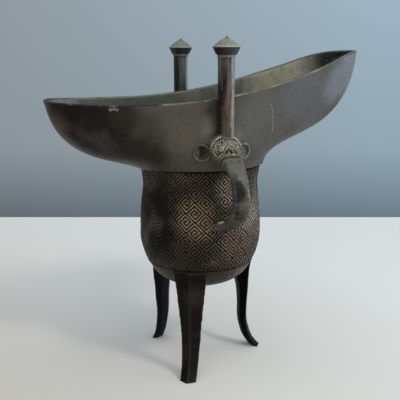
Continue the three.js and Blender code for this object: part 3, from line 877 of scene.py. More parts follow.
def smooth_line(stops, count):
    """A smooth line through all stops, as a table of points."""
    stops = np.array(stops, dtype=float)
    padded = np.vstack([stops[:1], stops, stops[-1:]])
    share = np.linspace(0, len(stops) - 1, count)
    first = np.minimum(share.astype(int), len(stops) - 2)
    t = (share - first)[:, None]
    before, start, end, after = (padded[first + k] for k in range(4))
    leave, arrive = (end - before) / 2, (after - start) / 2
    cubic = 2 * start - 2 * end + leave + arrive
    square = 3 * end - 3 * start - 2 * leave - arrive
    return cubic * t ** 3 + square * t ** 2 + leave * t + start


rim_line = smooth_line([
    (mouth_low.x, rim_level + SPOUT_LIFT),
    (mouth_low.x * 0.58, rim_level),
    (mouth_low.x * 0.17, rim_level + TAIL_LIFT * 0.04),
    (mouth_high.x * 0.2, rim_level + TAIL_LIFT * 0.22),
    (mouth_high.x * 0.56, rim_level + TAIL_LIFT * 0.56),
    (mouth_high.x * 0.85, rim_level + TAIL_LIFT * 0.91),
    (mouth_high.x, rim_level + TAIL_LIFT),
], 400)


def mix(start, end, share):
    return start + (end - start) * share


def rim_points(angle):
    """Points of the rim for a table of angles round the axis."""
    c, s = np.cos(angle), np.sin(angle)
    power = 2 / np.where(c < 0, SPOUT_ROUNDNESS, TAIL_ROUNDNESS)
    x = np.where(c < 0, mouth_low.x, mouth_high.x) * np.abs(c) ** power
    y = HALF_WIDTH * np.sign(s) * np.abs(s) ** power
    return np.stack([x, y, np.interp(x, rim_line[:, 0], rim_line[:, 1])], axis=1)


print("mouth from", round(mouth_low.x, 1), "to", round(mouth_high.x, 1), "mm, rim at", round(rim_level, 1))

# %% [markdown]
# The foot of the wall laps over the belly's neck like a short skirt, deepest under the spout. A bend
# says how far the curve's lower handle lies out and up on the way to the rim, and a lip how far its
# upper handle lies back from the rim. Spout, tail and sides each have their own, and the wall passes
# smoothly from one to the other.

# %% Mouth wall
LAP_RADIUS = 36.3
LAP_DEPTH = 0.7
SPOUT_LAP_DEPTH = 2.9
LAP_POWER = 4
SPOUT_BEND = (0.41, 0.22)
SPOUT_LIP = (0.12, 0.85)
SPOUT_LIP_POWER = 3
TAIL_BEND = (0.02, 0.27)
TAIL_LIP = (0.06, 0.9)
SIDE_BEND = (0.1, 0.33)
END_POWER = 1.2


def lap_depths(angle):
    """How far the skirt laps over the belly's neck, most under the spout."""
    return mix(LAP_DEPTH, SPOUT_LAP_DEPTH, np.maximum(-np.cos(angle), 0) ** LAP_POWER)


def wall_points(angle, t):
    """Points of the outside, t from 0 at the joint to 1 at the rim."""
    c = np.cos(angle)
    end = np.abs(c) ** END_POWER

    def between(side, spout, tail):
        return mix(side, np.where(c < 0, spout, tail), end)

    rim = rim_points(angle)
    foot = np.stack([LAP_RADIUS * c, LAP_RADIUS * np.sin(angle), joint - lap_depths(angle)], axis=1)
    low = mix(foot, rim, between(SIDE_BEND[0], SPOUT_BEND[0], TAIL_BEND[0])[:, None])
    low[:, 2] = mix(foot[:, 2], rim[:, 2], between(SIDE_BEND[1], SPOUT_BEND[1], TAIL_BEND[1]))
    inward = np.where(c < 0, SPOUT_LIP[0] * np.abs(c) ** SPOUT_LIP_POWER, TAIL_LIP[0] * end)
    high = mix(rim, foot, inward[:, None])
    high[:, 2] = mix(rim[:, 2], foot[:, 2], between(SIDE_BEND[1], SPOUT_LIP[1], TAIL_LIP[1]))
    rest = 1 - t
    return rest ** 3 * foot + 3 * rest ** 2 * t * low + 3 * rest * t ** 2 * high + t ** 3 * rim


def wall_normals(angle, t):
    """Directions that point straight out of the wall, level ones at the rim."""
    step = 0.01
    around = wall_points(angle + step, t) - wall_points(angle - step, t)
    up = wall_points(angle, min(t + step, 1)) - wall_points(angle, max(t - step, 0))
    normal = np.cross(around, up)
    if t == 1:
        normal[:, 2] = 0
    return normal / np.linalg.norm(normal, axis=1)[:, None]


print("the skirt laps", LAP_DEPTH, "to", SPOUT_LAP_DEPTH, "mm over the neck")

# %% [markdown]
# The sheet is laid out as rings: up the outside, over a lip that wear has rounded, down the inside
# and back under the joint. The lines stand closer where the rim bends, so their spacing is a mean of
# even steps along the rim and even turns round the joint.

# %% Mouth sheet
MOUTH_LINES = 320
MOUTH_ROWS = 56
LIP_STEPS = 5
MOUTH_WALL = 2.2
LIP_ROUNDING = 0.85
LINING_RADIUS = 32.1
LINING_RISE = 3.6
SEAT_RADIUS = 34.8
OUTSIDE_TOP = 0.965
INSIDE_TOP, INSIDE_FOOT = 0.955, 0.083
turns = np.linspace(0, 2 * np.pi, 7201)
steps = np.linalg.norm(np.diff(rim_points(turns), axis=0), axis=1)
along_rim = np.concatenate([[0], np.cumsum(steps)]) / steps.sum()
spacing = (along_rim + turns / (2 * np.pi)) / 2
angles = np.interp(np.arange(MOUTH_LINES) / MOUTH_LINES, spacing, turns)


def circle_at(radius, z):
    return np.stack([radius * np.cos(angles), radius * np.sin(angles), z + 0 * angles], axis=1)


rings = [wall_points(angles, t) for t in np.linspace(0, OUTSIDE_TOP, MOUTH_ROWS)]
rim = rim_points(angles)
outward = wall_normals(angles, 1)
for inset, start in ((LIP_ROUNDING, 0), (MOUTH_WALL - LIP_ROUNDING, np.pi / 2)):
    for bend in np.linspace(start, start + np.pi / 2, LIP_STEPS):
        lip = rim - outward * (inset - LIP_ROUNDING * np.cos(bend))
        lip[:, 2] -= LIP_ROUNDING * (1 - np.sin(bend))
        rings.append(lip)
lip_end = len(rings)
for t in np.linspace(INSIDE_TOP, INSIDE_FOOT, MOUTH_ROWS):
    inner = wall_points(angles, t) - wall_normals(angles, t) * MOUTH_WALL
    inner[:, 2] = np.maximum(inner[:, 2], joint + LINING_RISE * t)
    rings.append(inner)
lap = lap_depths(angles)
rings += [circle_at(LINING_RADIUS, joint), circle_at(SEAT_RADIUS, joint), circle_at(SEAT_RADIUS, joint - lap)]
sheet = bpy.data.meshes.new("mouth")
sheet_points = np.concatenate(rings) * MM + np.array(cup_axis)
sheet.from_pydata(sheet_points.tolist(), [], ring_faces(len(rings), MOUTH_LINES, close=True))
unevened(sheet, 11, 0.14)
print("mouth:", len(rings), "rings of", MOUTH_LINES, "points")

# %% [markdown]
# Outside, the mouth is grey-brown under the post, nearly black with a few rust-red spots by the
# spout, and grey with a violet tinge at the tail. The near black by the spout is painted shade, on
# the side away from the light, and the paler grey towards the tail is partly painted light; a small
# dark patch left of the near post is its painted shadow. Inside it is olive with pale upright wipe
# marks, and black where the tail narrows. The lip is the brightest place: it is touched most, and its
# pale edge is also partly a painted highlight, painted darker as shade on the spout side.

# %% Mouth finishes
mouth_outside = patina(
    "cast bronze, grey-brown crust with painted light and shade", "47443d", "26211b", "5c5952",
    zones=[
        ("524a3e", (-19, -34, 137), 6, 9),
        # These four, darker towards the spout and away from the light, are painted shade
        ("36322a", (-43, -31, 140), 12, 5),
        ("231e18", (-40, -27, 127), 12, 4),
        ("211b16", (-60, -25, 134), 14, 4),
        ("0b0908", (-70, -24, 152), 22, 5),
        ("352b20", (-80, -14, 146), 6, 3),
        # These four, paler and greyer towards the tail where the light falls, are partly painted light
        ("52524e", (26, -31, 146), 18, 5),
        ("57585b", (55, -28, 156), 18, 6),
        ("696e76", (76, -22, 164), 13, 5),
        ("757c83", (96, -8, 172), 26, 9),
        ("584d44", (78, -18, 155), 2, 3),
        ("625c50", (-7, -34, 142), 3.5, 5),
        ("68645a", (9, -34, 138), 3, 5),
    ],
    stains_and_shade=[
        # These two, near black by the spout and away from the light, are painted shade
        ("120f0c", (-68, -25, 151), 11, 5),
        ("262019", (-52, -30, 149), 6, 6),
        ("4a3524", (-76, -20, 146.5), 0.8, 1.1),
        ("4a3524", (-72.5, -21, 142), 0.5, 1.0),
        ("3f2f22", (-66, -24, 146), 0.5, 1.0),
        ("857a72", (-57.2, -29.2, 153.4), 0.6, 0.7),
        ("857a72", (-55.4, -29.5, 153.7), 0.5, 0.7),
        ("857a72", (-54, -29.7, 153.3), 0.5, 0.6),
        # The near post's shadow on the wall, to its left: a painted shadow
        ("2b2922", (-6.8, -33.3, 152), 1.5, 3),
    ],
    cloud_mm=22, mottle_mm=1.3, grain_mm=0.6, contrast=0.42, specks=0.2,
    veins=0.15, roughness=0.44, gleam=0.15, pit_mm=0.14,
)
mouth_inside = patina(
    "cast bronze, olive wipe marks", "565750", "2f302d", "74746a",
    zones=[
        ("50514c", (-36, 30, 152), 14, 8),
        ("7b7e7d", (-76, 18, 156), 9, 6),
        ("92907a", (60, 25, 166), 20, 6),
        ("0c1112", (98, 2, 178), 20, 7),
    ],
    cloud_mm=12, mottle_mm=4, streak=1.4, contrast=0.6, specks=0.3, veins=0.15, roughness=0.42,
)
mouth_lip = patina(
    "bronze rubbed on the lip, with painted highlight and shade", "5a584f", "34312a", "7d7b71",
    # Darker at the spout tip and along the spout side, away from the light: painted shade
    zones=[("231f1a", (-86, 0, 157), 14, 8), ("24201c", (-60, -27, 154), 30, 6)],
    mottle_mm=2, metallic=0.4, roughness=0.38,
)
print("mouth finishes:", mouth_outside.name + ",", mouth_inside.name + ",", mouth_lip.name)

# %% [markdown]
# The sheet's faces are counted ring by ring, so their number says where they lie: up the outside, on
# the lip, or down the inside. The few rings under the joint belong to the outside.

# %% Mouth
for material in (mouth_outside, mouth_inside, mouth_lip):
    sheet.materials.append(material)
for index, face in enumerate(sheet.polygons):
    row = index // MOUTH_LINES
    on_lip = MOUTH_ROWS <= row < lip_end - 1
    face.material_index = 2 if on_lip else (1 if lip_end - 1 <= row < len(rings) - 3 else 0)
settle("mouth_skin", sheet, "mouth_bowl")

# %% [markdown]
# Where two parts of the mould met, a little metal ran into the gap. Most of that seam was filed away,
# and a row of small pale beads is left of it on the wall to the right of the handle. The beads follow
# a path on the surface, so a small tree sets one on every step of the path, each of another size.

# %% Mould seam
SEAM_STEP = 1.35
BEAD_RADIUS = 0.42
BEAD_FACES = 20 * 4 ** 2
seam_path = [(28.6, 153.5), (29.4, 151), (29.9, 145.6), (30.0, 139.5)]
mouth_tree = BVHTree.FromPolygons([v.co for v in sheet.vertices], [tuple(f.vertices) for f in sheet.polygons])
on_wall = []
for x, z in smooth_line(seam_path, 30):
    front = cup_axis + Vector((x, -80, z)) * MM
    on_wall.append(mouth_tree.ray_cast(front, Vector((0, 1, 0)))[0])
seam_line = bpy.data.meshes.new("seam line")
seam_line.from_pydata(on_wall, [(i, i + 1) for i in range(len(on_wall) - 1)], [])

tree = bpy.data.node_groups.new("beads along a seam", "GeometryNodeTree")
for name, kind in (("Geometry", "Geometry"), ("Step", "Float"), ("Radius", "Float"), ("Finish", "Material")):
    tree.interface.new_socket(name, in_out="INPUT", socket_type="NodeSocket" + kind)
tree.interface.new_socket("Geometry", in_out="OUTPUT", socket_type="NodeSocketGeometry")
given = add(tree, "NodeGroupInput").outputs
path = add(tree, "GeometryNodeMeshToCurve", {"Mesh": given["Geometry"]})
stations = add(tree, "GeometryNodeResampleCurve", {
    "Curve": path.outputs[0],
    "Length": given["Step"],
}, mode="LENGTH")
bead = add(tree, "GeometryNodeMeshIcoSphere", {"Radius": given["Radius"], "Subdivisions": 3})
size = add(tree, "FunctionNodeRandomValue", {2: 0.55, 3: 1.15, "Seed": 4}, data_type="FLOAT")
beads = add(tree, "GeometryNodeInstanceOnPoints", {
    "Points": stations.outputs[0],
    "Instance": bead.outputs["Mesh"],
    "Scale": size.outputs[1],
})
whole = add(tree, "GeometryNodeRealizeInstances", {"Geometry": beads.outputs[0]})
finished = add(tree, "GeometryNodeSetMaterial", {"Geometry": whole.outputs[0], "Material": given["Finish"]})
add(tree, "NodeGroupOutput", {"Geometry": finished.outputs[0]})
seam_finish = patina("filed seam of bare bronze", "a09c90", "6b665a", "bcb9ae", mottle_mm=1.2, metallic=0.5)
seam_mesh = with_tree("mould seam", seam_line, tree, {
    "Step": SEAM_STEP * MM,
    "Radius": BEAD_RADIUS * MM,
    "Finish": seam_finish,
})
seam_mesh.shade_smooth()
seam = bpy.data.objects.new("mould_seam", seam_mesh)
scene.collection.objects.link(seam)
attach(seam, "root")
print("seam beads:", len(seam_mesh.polygons) // BEAD_FACES)

# %% [markdown]
# The two posts are plain round bars, cast on to the wall. Mineral crust ran down them in stripes,
# red-brown down the near one's middle. Over that, each is painted darker on its left and paler on its
# right, as painted shade and painted highlight from the light on the right: the near one is blue-black
# on the left and grey-violet on the right, the far one is dark with a bright right side. Their skin is
# the frame's casting, softened.

# %% Posts
near_post = patina(
    "cast bronze, red-brown streaks, painted light and shade", "463c35", "211a15", "6a6560",
    zones=[
        ("4a3024", (-1.6, -41.6, 158), 1.6, 0.8),
        # These two, dark on the left away from the light, are painted shade
        ("121011", (-3, -40.3, 171), 3.1, 0.5),
        ("1f1813", (-4, -39.2, 146), 2.1, 0.6),
        # These two, pale on the right where the light falls, are a painted highlight
        ("858a8f", (4.2, -40.2, 171), 2.7, 0.8),
        ("8a8680", (4.4, -39.8, 150), 2.9, 0.8),
    ],
    stains_and_shade=[
        ("0f0d0e", (-1.6, -41.6, 163), 0.2, 0.5),
        ("8f887c", (1.8, -42, 145), 0.1, 0.4),
    ],
    rub=("8d877b", "1b1614"), cloud_mm=5, mottle_mm=1, grain_mm=0.35, streak=6, specks=0.4,
    contrast=1.2, roughness=0.36, gleam=0.25,
)
far_post = patina(
    "cast bronze, dark, with a painted bright side", "323334", "151617", "565858",
    zones=[
        # Dark on the left, away from the light: painted shade
        ("101214", (-3.6, 35, 168), 2.2, 0.6),
        # Bright on the right, where the light falls: painted highlight
        ("95989b", (3.9, 35.2, 170), 2.1, 0.6),
    ],
    stains_and_shade=[("0a0b0c", (-0.4, 33.6, 170.5), 0.25, 0.35)],
    rub=("83827a", "18181a"), cloud_mm=5, mottle_mm=1, grain_mm=0.35, streak=6, specks=0.3,
    contrast=1.2, roughness=0.34, gleam=0.25,
)
for node, finish in (("post_near", near_post), ("post_far", far_post)):
    post = softened(node, 0.25, 8)
    unevened(post, 5, 0.12)
    mark_crests(post, 10, 0.22)
    post.materials.append(finish)
    settle(node.replace("post", "post_skin"), post, node)

# %% [markdown]
# Each post wears a cap: a low cone over a collar that narrows downwards. Fine ribs radiate from its
# tip. They repeat round an axis and follow a rule, so a tree presses them into a smooth cone: every
# point is pushed out by a wave of its angle round the cap's axis, and nowhere but on the cone.

# %% Cap ribs tree
tree = bpy.data.node_groups.new("cap ribs", "GeometryNodeTree")
for name, kind in (("Geometry", "Geometry"), ("Axis", "Vector"), ("Eave", "Float"), ("Ribs", "Int"),
                   ("Relief", "Float"), ("Cone", "Material"), ("Collar", "Material")):
    tree.interface.new_socket(name, in_out="INPUT", socket_type="NodeSocket" + kind)
tree.interface.new_socket("Geometry", in_out="OUTPUT", socket_type="NodeSocketGeometry")
given = add(tree, "NodeGroupInput").outputs
position = add(tree, "GeometryNodeInputPosition").outputs[0]
away = add(tree, "ShaderNodeVectorMath", {0: position, 1: given["Axis"]}, operation="SUBTRACT")
across = add(tree, "ShaderNodeSeparateXYZ", {0: away.outputs[0]}).outputs
angle = add(tree, "ShaderNodeMath", {0: across["Y"], 1: across["X"]}, operation="ARCTAN2")
wave = add(tree, "ShaderNodeMath", {0: angle.outputs[0], 1: given["Ribs"]}, operation="MULTIPLY")
crest = add(tree, "ShaderNodeMath", {0: wave.outputs[0]}, operation="SINE")
above = add(tree, "ShaderNodeMath", {0: across["Z"], 1: given["Eave"]}, operation="SUBTRACT")
on_cone = add(tree, "ShaderNodeMapRange", {
    "Value": above.outputs[0],
    "From Min": 0.4 * MM,
    "From Max": 1.2 * MM,
})
height = add(tree, "ShaderNodeMath", {0: crest.outputs[0], 1: on_cone.outputs[0]}, operation="MULTIPLY")
depth = add(tree, "ShaderNodeMath", {0: height.outputs[0], 1: given["Relief"]}, operation="MULTIPLY")
normal = add(tree, "GeometryNodeInputNormal").outputs[0]
push = add(tree, "ShaderNodeVectorMath", {0: normal, "Scale": depth.outputs[0]}, operation="SCALE")
ribbed = add(tree, "GeometryNodeSetPosition", {"Geometry": given["Geometry"], "Offset": push.outputs[0]})
is_cone = add(tree, "ShaderNodeMath", {0: above.outputs[0], 1: 0.0}, operation="GREATER_THAN")
whole = add(tree, "GeometryNodeRealizeInstances", {"Geometry": ribbed.outputs[0]})
dark = add(tree, "GeometryNodeSetMaterial", {"Geometry": whole.outputs[0], "Material": given["Collar"]})
pale = add(tree, "GeometryNodeSetMaterial", {
    "Geometry": dark.outputs[0],
    "Selection": is_cone.outputs[0],
    "Material": given["Cone"],
})
add(tree, "NodeGroupOutput", {"Geometry": pale.outputs[0]})
cap_tree = tree
print("cap ribs tree:", len(tree.nodes), "nodes")

# %% [markdown]
# The cones are the palest bronze of the cup, olive-grey and rubbed along the ribs, the far one a shade
# darker. Under the eave the collar is nearly black, a dark crust deepened by painted shade from the
# eave, and keeps a few grey wipe marks; a pale bluish spot on its right is a painted highlight.

# %% Cap finishes
cone_finishes = {
    node: patina(
        f"cast bronze, {look} cone", tone, "4b4b42", pale,
        rub=(pale, "3b3b33"), mottle_mm=1.2, grain_mm=0.4, specks=0.35, roughness=0.4, gleam=0.3,
    )
    for node, look, tone, pale in (
        ("cap_near", "pale olive-grey", "73756b", "97968c"),
        ("cap_far", "darker olive-grey", "5c5e56", "84837a"),
    )
}
collar_finish = patina(
    "cast bronze, black collar with wipe marks and painted shade", "262423", "0c0a08", "45464a",
    # A dark patch on the left, and on the right a pale bluish spot that is a painted highlight
    zones=[("090806", (-4, -41, 182.5), 2, 1.5), ("4a5156", (5, -40, 181), 1.2, 1)],
    mottle_mm=0.9, streak=4, roughness=0.36, gleam=0.4,
)
print("cap finishes:", [finish.name for finish in cone_finishes.values()], "and", collar_finish.name)

# %% [markdown]
# The caps' outline comes from the frame's boxes: the eave is as wide as the box, and the tip as high.
# It is revolved with many sides, closed by a pole at each end, and then ribbed by the tree.

# %% Caps
CAP_SIDES = 120
CAP_RIBS = 30
RIB_RELIEF = 0.07
COLLAR_HEIGHT = 3.7
COLLAR_RADIUS = 5.4
TIP_RADIUS = 0.9


def cap_outline(radius, foot, tip):
    """Half of a cap from its foot on the axis to its tip, as radius and height."""
    eave = foot + COLLAR_HEIGHT
    return smooth_line([
        (0, foot), (COLLAR_RADIUS - 0.3, foot), (COLLAR_RADIUS, foot + 0.3),
        (mix(COLLAR_RADIUS, radius, 0.45), foot + COLLAR_HEIGHT * 0.5), (radius - 0.2, eave - 0.35),
        (radius, eave - 0.05), (radius - 0.12, eave + 0.3),
        (mix(TIP_RADIUS, radius, 0.66), mix(eave, tip, 0.34)),
        (mix(TIP_RADIUS, radius, 0.33), mix(eave, tip, 0.66)),
        (TIP_RADIUS + 0.1, tip - 0.5), (TIP_RADIUS * 0.5, tip - 0.08), (0, tip),
    ], 88)


for node in ("cap_near", "cap_far"):
    low, high = (Vector(corner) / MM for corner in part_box(node))
    centre = (low + high) / 2
    outline = cap_outline((high.x - low.x) / 2, low.z, high.z)
    turns = [2 * math.pi * k / CAP_SIDES for k in range(CAP_SIDES)]
    cap_points = [
        Vector((centre.x + r * math.cos(a), centre.y + r * math.sin(a), z)) * MM
        for r, z in outline[1:-1] for a in turns
    ]
    cap_faces = ring_faces(len(outline) - 2, CAP_SIDES)
    for pole, first in ((outline[0], 0), (outline[-1], len(cap_points) - CAP_SIDES)):
        cap_points.append(Vector((centre.x, centre.y, pole[1])) * MM)
        for k in range(CAP_SIDES):
            edge = (first + k, first + (k + 1) % CAP_SIDES)
            edge = edge if first else edge[::-1]
            cap_faces.append((*edge, len(cap_points) - 1))
    cap_base = bpy.data.meshes.new(node)
    cap_base.from_pydata(cap_points, [], cap_faces)
    cap_shape = with_tree(node, cap_base, cap_tree, {
        "Axis": (centre.x * MM, centre.y * MM, 0),
        "Eave": (low.z + COLLAR_HEIGHT - 0.1) * MM,
        "Ribs": CAP_RIBS,
        "Relief": RIB_RELIEF * MM,
        "Cone": cone_finishes[node],
        "Collar": collar_finish,
    })
    mark_crests(cap_shape, 8, 0.06)
    settle(node.replace("cap", "cap_skin"), cap_shape, node)

# %% [markdown]
# The legs are blades with a wedge-shaped section. Nobody holds the cup there, so they keep a smooth,
# nearly black crust, a little browner on the near leg and bluer on the far one. The leg under the tail
# is seen in shade, and its deeper black is painted shade; the near leg is painted darker on its left
# and paler along its right edge, as painted shade and a painted highlight.

# %% Legs
leg_finishes = {
    "leg_near": patina(
        "cast bronze, black-brown crust", "120e0d", "080606", "241f1b",
        # Darker on the left and paler along the right edge: painted shade and a painted highlight
        zones=[("070606", (-25, -27, 30), 4, 4), ("28231f", (-14, -31, 48), 6, 4)],
        rub=("2a2521", "080606"), veins=0.15, roughness=0.42, gleam=0.08,
    ),
    "leg_far": patina(
        "cast bronze, blue-black crust", "0a0b0f", "030405", "181c24",
        rub=("1c1f25", "050607"), roughness=0.42, gleam=0.1,
    ),
    # The leg under the tail is seen in shade: its near black is painted shade over a black crust
    "leg_tail": patina(
        "cast bronze, black crust under painted shade", "040403", "020202", "0a0a09",
        zones=[("3c3c3a", (40, -3, 3), 1.5, 2)], rub=("0e0e0d", "030302"), roughness=0.45, gleam=0.04,
    ),
}
for node, finish in leg_finishes.items():
    leg = softened(node, 0.4, 12)
    unevened(leg, 9, 0.2)
    mark_crests(leg, 12, 0.3)
    leg.materials.append(finish)
    settle(node.replace("leg", "leg_skin"), leg, node)

# %% [markdown]
# The handle is what a hand takes hold of, so its crust is thin: grey-green above and pinkish brown
# from the middle down. Its left side is dark as painted shade, and its right edge is painted nearly
# white as a highlight where the light falls. The small leaf at its foot is the palest place, partly as
# painted light on a face that looks up into the light.

# %% Handle
handle_finish = patina(
    "cast bronze, handled and rubbed", "30271f", "1a1511", "5a524a",
    zones=[
        ("56574e", (0, -55, 126), 6, 2),
        ("53544c", (1.6, -61, 119), 4, 2),
        ("483b36", (2, -64, 107), 4.5, 2),
        # These two, dark down the left side away from the light, are painted shade
        ("070505", (-5, -62, 115), 6.3, 1),
        ("0e0b09", (-6, -60, 104), 5, 1),
        # Nearly white along the right edge, where the light falls: painted highlight
        ("8b8785", (5.8, -60, 112), 4, 1.6),
        # The leaf faces up into the light: its paleness is partly painted light
        ("a8a38e", (0, -36.4, 92), 4, 1.2),
    ],
    rub=("857f77", "0f0b09"), cloud_mm=8, mottle_mm=1.6, grain_mm=0.4, specks=0.3, veins=0.15,
    metallic=0.1, roughness=0.42, gleam=0.15,
)
handle = softened("handle", 0.3, 12)
unevened(handle, 6, 0.2)
mark_crests(handle, 14, 0.4)
handle.materials.append(handle_finish)
settle("handle_skin", handle, "handle")

# %% [markdown]
# The beast's head is the richest piece: a bull-like mask whose jaws hold the handle. The casting has
# its masses, and the carving is added here as strokes, the way a modeller would roll them on in wax
# or cut them out: each stroke is a line seen from the front, with a width and a height. Every point
# of the front skin moves along its own normal by what the strokes near it say. Raised strokes don't
# add up where they cross, and neither do cut ones.

# %% Carving tools


def stroke_reach(points, line, half_width):
    """How much a stroke reaches each point in the front plane, from 0 outside to 1 on its line."""
    nearest = np.full(len(points), np.inf)
    line = np.array(line, dtype=float)
    if len(line) == 1:
        nearest = np.linalg.norm(points - line[0], axis=1)
    for start, end in zip(line, line[1:]):
        along = end - start
        share = np.clip((points - start) @ along / (along @ along), 0, 1)
        nearest = np.minimum(nearest, np.linalg.norm(points - start - share[:, None] * along, axis=1))
    reach = np.clip(1 - nearest / half_width, 0, 1)
    return reach * reach * (3 - 2 * reach)


def carve(mesh, strokes):
    """Moves the front skin by strokes of (line, half width, height), all in millimetres."""
    places, normals = point_values(mesh)
    seen = (places - np.array(cup_axis)) / MM
    front = np.clip((-normals[:, 1] - 0.15) / 0.4, 0, 1)
    raised = np.zeros(len(places))
    cut = np.zeros(len(places))
    for line, half_width, height in strokes:
        if len(line) > 2:
            line = smooth_line(line, 4 * len(line))
        move = stroke_reach(seen[:, [0, 2]], line, half_width) * height
        raised = np.maximum(raised, move)
        cut = np.minimum(cut, move)
    places += normals * ((raised + cut) * front * MM)[:, None]
    mesh.vertices.foreach_set("co", places.ravel())
    mesh.update()


def loop(x, z, radius, turn=0.0, turns=1.0, end_radius=None):
    """A ring, or a spiral if the end radius differs."""
    steps = max(8, round(16 * turns))
    last = radius if end_radius is None else end_radius
    return [
        (x + mix(radius, last, k / steps) * math.cos(turn + 2 * math.pi * turns * k / steps),
         z + mix(radius, last, k / steps) * math.sin(turn + 2 * math.pi * turns * k / steps))
        for k in range(steps + 1)
    ]


print("a full turn of a loop takes", len(loop(0, 0, 1)) - 1, "steps")

# %% [markdown]
# These are the mask's strokes, in millimetres from the cup's axis and up from its foot: a heavy brow
# with two knobs, two unequal eyes, wavy hair, a snout like an upside-down V, cheeks and the ears.

# %% Strokes of the mask
BROW = [(-7.5, 137.4), (-4.6, 138.3), (-2.9, 139.4), (-0.5, 139.9), (2.8, 139.2), (6.4, 137.6), (8.9, 135.9)]
strokes = [
    # Brow, the groove under it and the two worn knobs on it
    (BROW, 0.75, 0.55),
    ([(8.9, 135.9), (8.0, 134.4), (8.0, 132.6)], 0.6, 0.4),
    ([(-6.6, 136.6), (-4, 137.2), (-2.2, 138.3), (2.4, 137.7), (6.2, 136.2)], 0.5, -0.35),
    ([(2.8, 140.1)], 1.1, 0.75),
    ([(8.7, 138.0)], 1.1, 0.7),
    # Left eye: lids round a ring, a sunk pupil and a bright corner
    (loop(-4.9, 133.7, 1.55), 0.5, 0.45),
    ([(-4.9, 133.7)], 1.2, -0.5),
    ([(-6.6, 134.4), (-5.9, 135.7), (-5.0, 135.9), (-3.7, 135.2)], 0.45, 0.4),
    ([(-7.1, 133.2), (-6.5, 132.0), (-5.2, 131.5), (-3.9, 132.1)], 0.45, 0.35),
    # Right eye, worn lower
    (loop(5.6, 133.0, 1.4), 0.5, 0.3),
    ([(5.6, 133.0)], 1.0, -0.35),
    # Wavy hair between brow and eye
    ([(-3.4, 138.2), (-3.1, 137.4), (-3.9, 136.7), (-3.7, 135.8)], 0.42, 0.42),
    ([(-2.3, 138.5), (-2.0, 137.6), (-2.7, 136.8), (-2.4, 135.9), (-2.9, 135.0)], 0.42, 0.42),
    ([(-2.9, 138.2), (-2.6, 137.4), (-3.3, 136.7), (-3.1, 135.8)], 0.3, -0.3),
    ([(-5.9, 136.9), (-5.2, 137.6), (-4.5, 137.2), (-4.7, 136.5)], 0.4, 0.35),
    # Snout: an upside-down V with its legs rolled outwards
    ([(0.8, 135.2), (-0.6, 134.4), (-1.8, 132.9), (-3.1, 131.4), (-4.2, 130.3), (-5.2, 128.9)], 0.6, 0.6),
    ([(0.8, 135.2), (1.5, 134.9), (2.8, 133.3), (3.8, 132.2), (4.7, 131.4), (5.4, 130.2)], 0.6, 0.6),
    ([(0.6, 136.6), (0.7, 135.4)], 0.7, 0.4),
    ([(-1.7, 131.5), (-0.3, 132.5), (1.0, 131.4)], 1.1, -0.8),
    (loop(-2.9, 130.2, 0.9, 0.4, 1.2, 0.2), 0.34, 0.45),
    (loop(-0.6, 130.6, 0.8, 2.6, 1.2, 0.2), 0.34, 0.45),
    (loop(2.0, 132.5, 0.9, 1.2, 1.1, 0.25), 0.34, 0.5),
    ([(0.4, 133.4), (0.2, 132.4)], 0.35, 0.4),
    # Cheeks
    ([(-7.5, 132.9), (-7.3, 131.4), (-6.6, 130.2), (-6.2, 128.6)], 0.4, 0.4),
    ([(-6.4, 131.0), (-5.6, 129.8), (-5.4, 128.4)], 0.4, -0.3),
    ([(7.4, 131.6), (7.0, 130.2), (6.2, 129.0)], 0.4, 0.4),
    # Left ear: a round dish with a rolled rim and a hooked spiral
    (loop(-12.0, 130.5, 4.1), 0.5, 0.3),
    (loop(-12.3, 130.9, 2.5, 0.9, 1.35, 0.5), 0.42, 0.45),
    ([(-12.2, 130.4)], 3.4, -0.5),
    # Right ear: a squarish low spiral
    ([(8.6, 131.0), (9.3, 134.0), (11.5, 134.2), (13.5, 133.5), (13.9, 131.4), (13.6, 129.7), (11.4, 129.6),
      (10.3, 130.6), (10.6, 132.2), (12.0, 132.4), (12.3, 131.2)], 0.5, 0.5),
    ([(11.6, 131.7)], 2.6, -0.3),
]
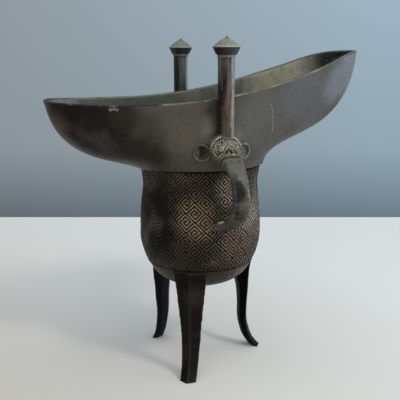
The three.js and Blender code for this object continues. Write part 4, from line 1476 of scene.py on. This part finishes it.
print("the mask is carved with", len(strokes), "strokes")

# %% [markdown]
# The head's skin is the finest of all, because its strokes are under a millimetre wide. Its finish is
# olive and rubbed on what stands proud, with dark hollows, a dark dish in the left ear, which lies in
# shade and dirt, and a paler right ear.

# %% Beast head
HEAD_SKIN_MM = 0.17
head = softened("beast_head", HEAD_SKIN_MM, 8)
carve(head, strokes)
unevened(head, 3, 0.12)
mark_crests(head, 14, 0.22)
head_finish = patina(
    "cast bronze, olive and rubbed", "59554a", "2c251d", "7c7869",
    zones=[
        ("6b6d62", (3, -43, 138), 3.5, 2),
        ("241f19", (-0.4, -46, 131.6), 1.0, 1.2),
        ("8f8b78", (6, -41, 137.5), 2.5, 2),
        ("9a8f84", (3.6, -48, 129.4), 2, 1.6),
    ],
    stains_and_shade=[
        ("3a3126", (-12.1, -38, 130.5), 5.6, 0.8),
        ("120c08", (-12.1, -36, 130.6), 2.9, 0.6),
        ("5c5b55", (12.6, -38, 130.8), 5.4, 0.8),
    ],
    rub=("9a9684", "1a140f"), cloud_mm=8, mottle_mm=1.4, grain_mm=0.35, specks=0.25,
    roughness=0.4, gleam=0.3,
)
head.materials.append(head_finish)
settle("beast_head_skin", head, "beast_head")

# %% [markdown]
# Every casting of the frame now has a skin over it, but the castings themselves stay in the file. They
# get plain finishes of the same metal, so that nothing is left without a name and a material.

# %% Finishes of the castings
casting_finishes = {
    "belly": belly_plain, "mouth_bowl": mouth_outside, "beast_head": head_finish, "handle": handle_finish,
    "post_near": near_post, "post_far": far_post, **cone_finishes, **leg_finishes,
}
for name, node in nodes.items():
    node.data.materials.clear()
    node.data.materials.append(casting_finishes[name])
print("castings with a finish:", len(nodes))

# %% [markdown]
# Last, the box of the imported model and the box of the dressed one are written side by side, so that
# their sizes can be compared.

# %% Sizes and finish
shown_box = [list(corner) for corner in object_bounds()]
for name, (low, high) in (("packed", cad_box), ("dressed", shown_box)):
    print(name, "size in mm:", [round((b - a) / MM, 1) for a, b in zip(low, high)])
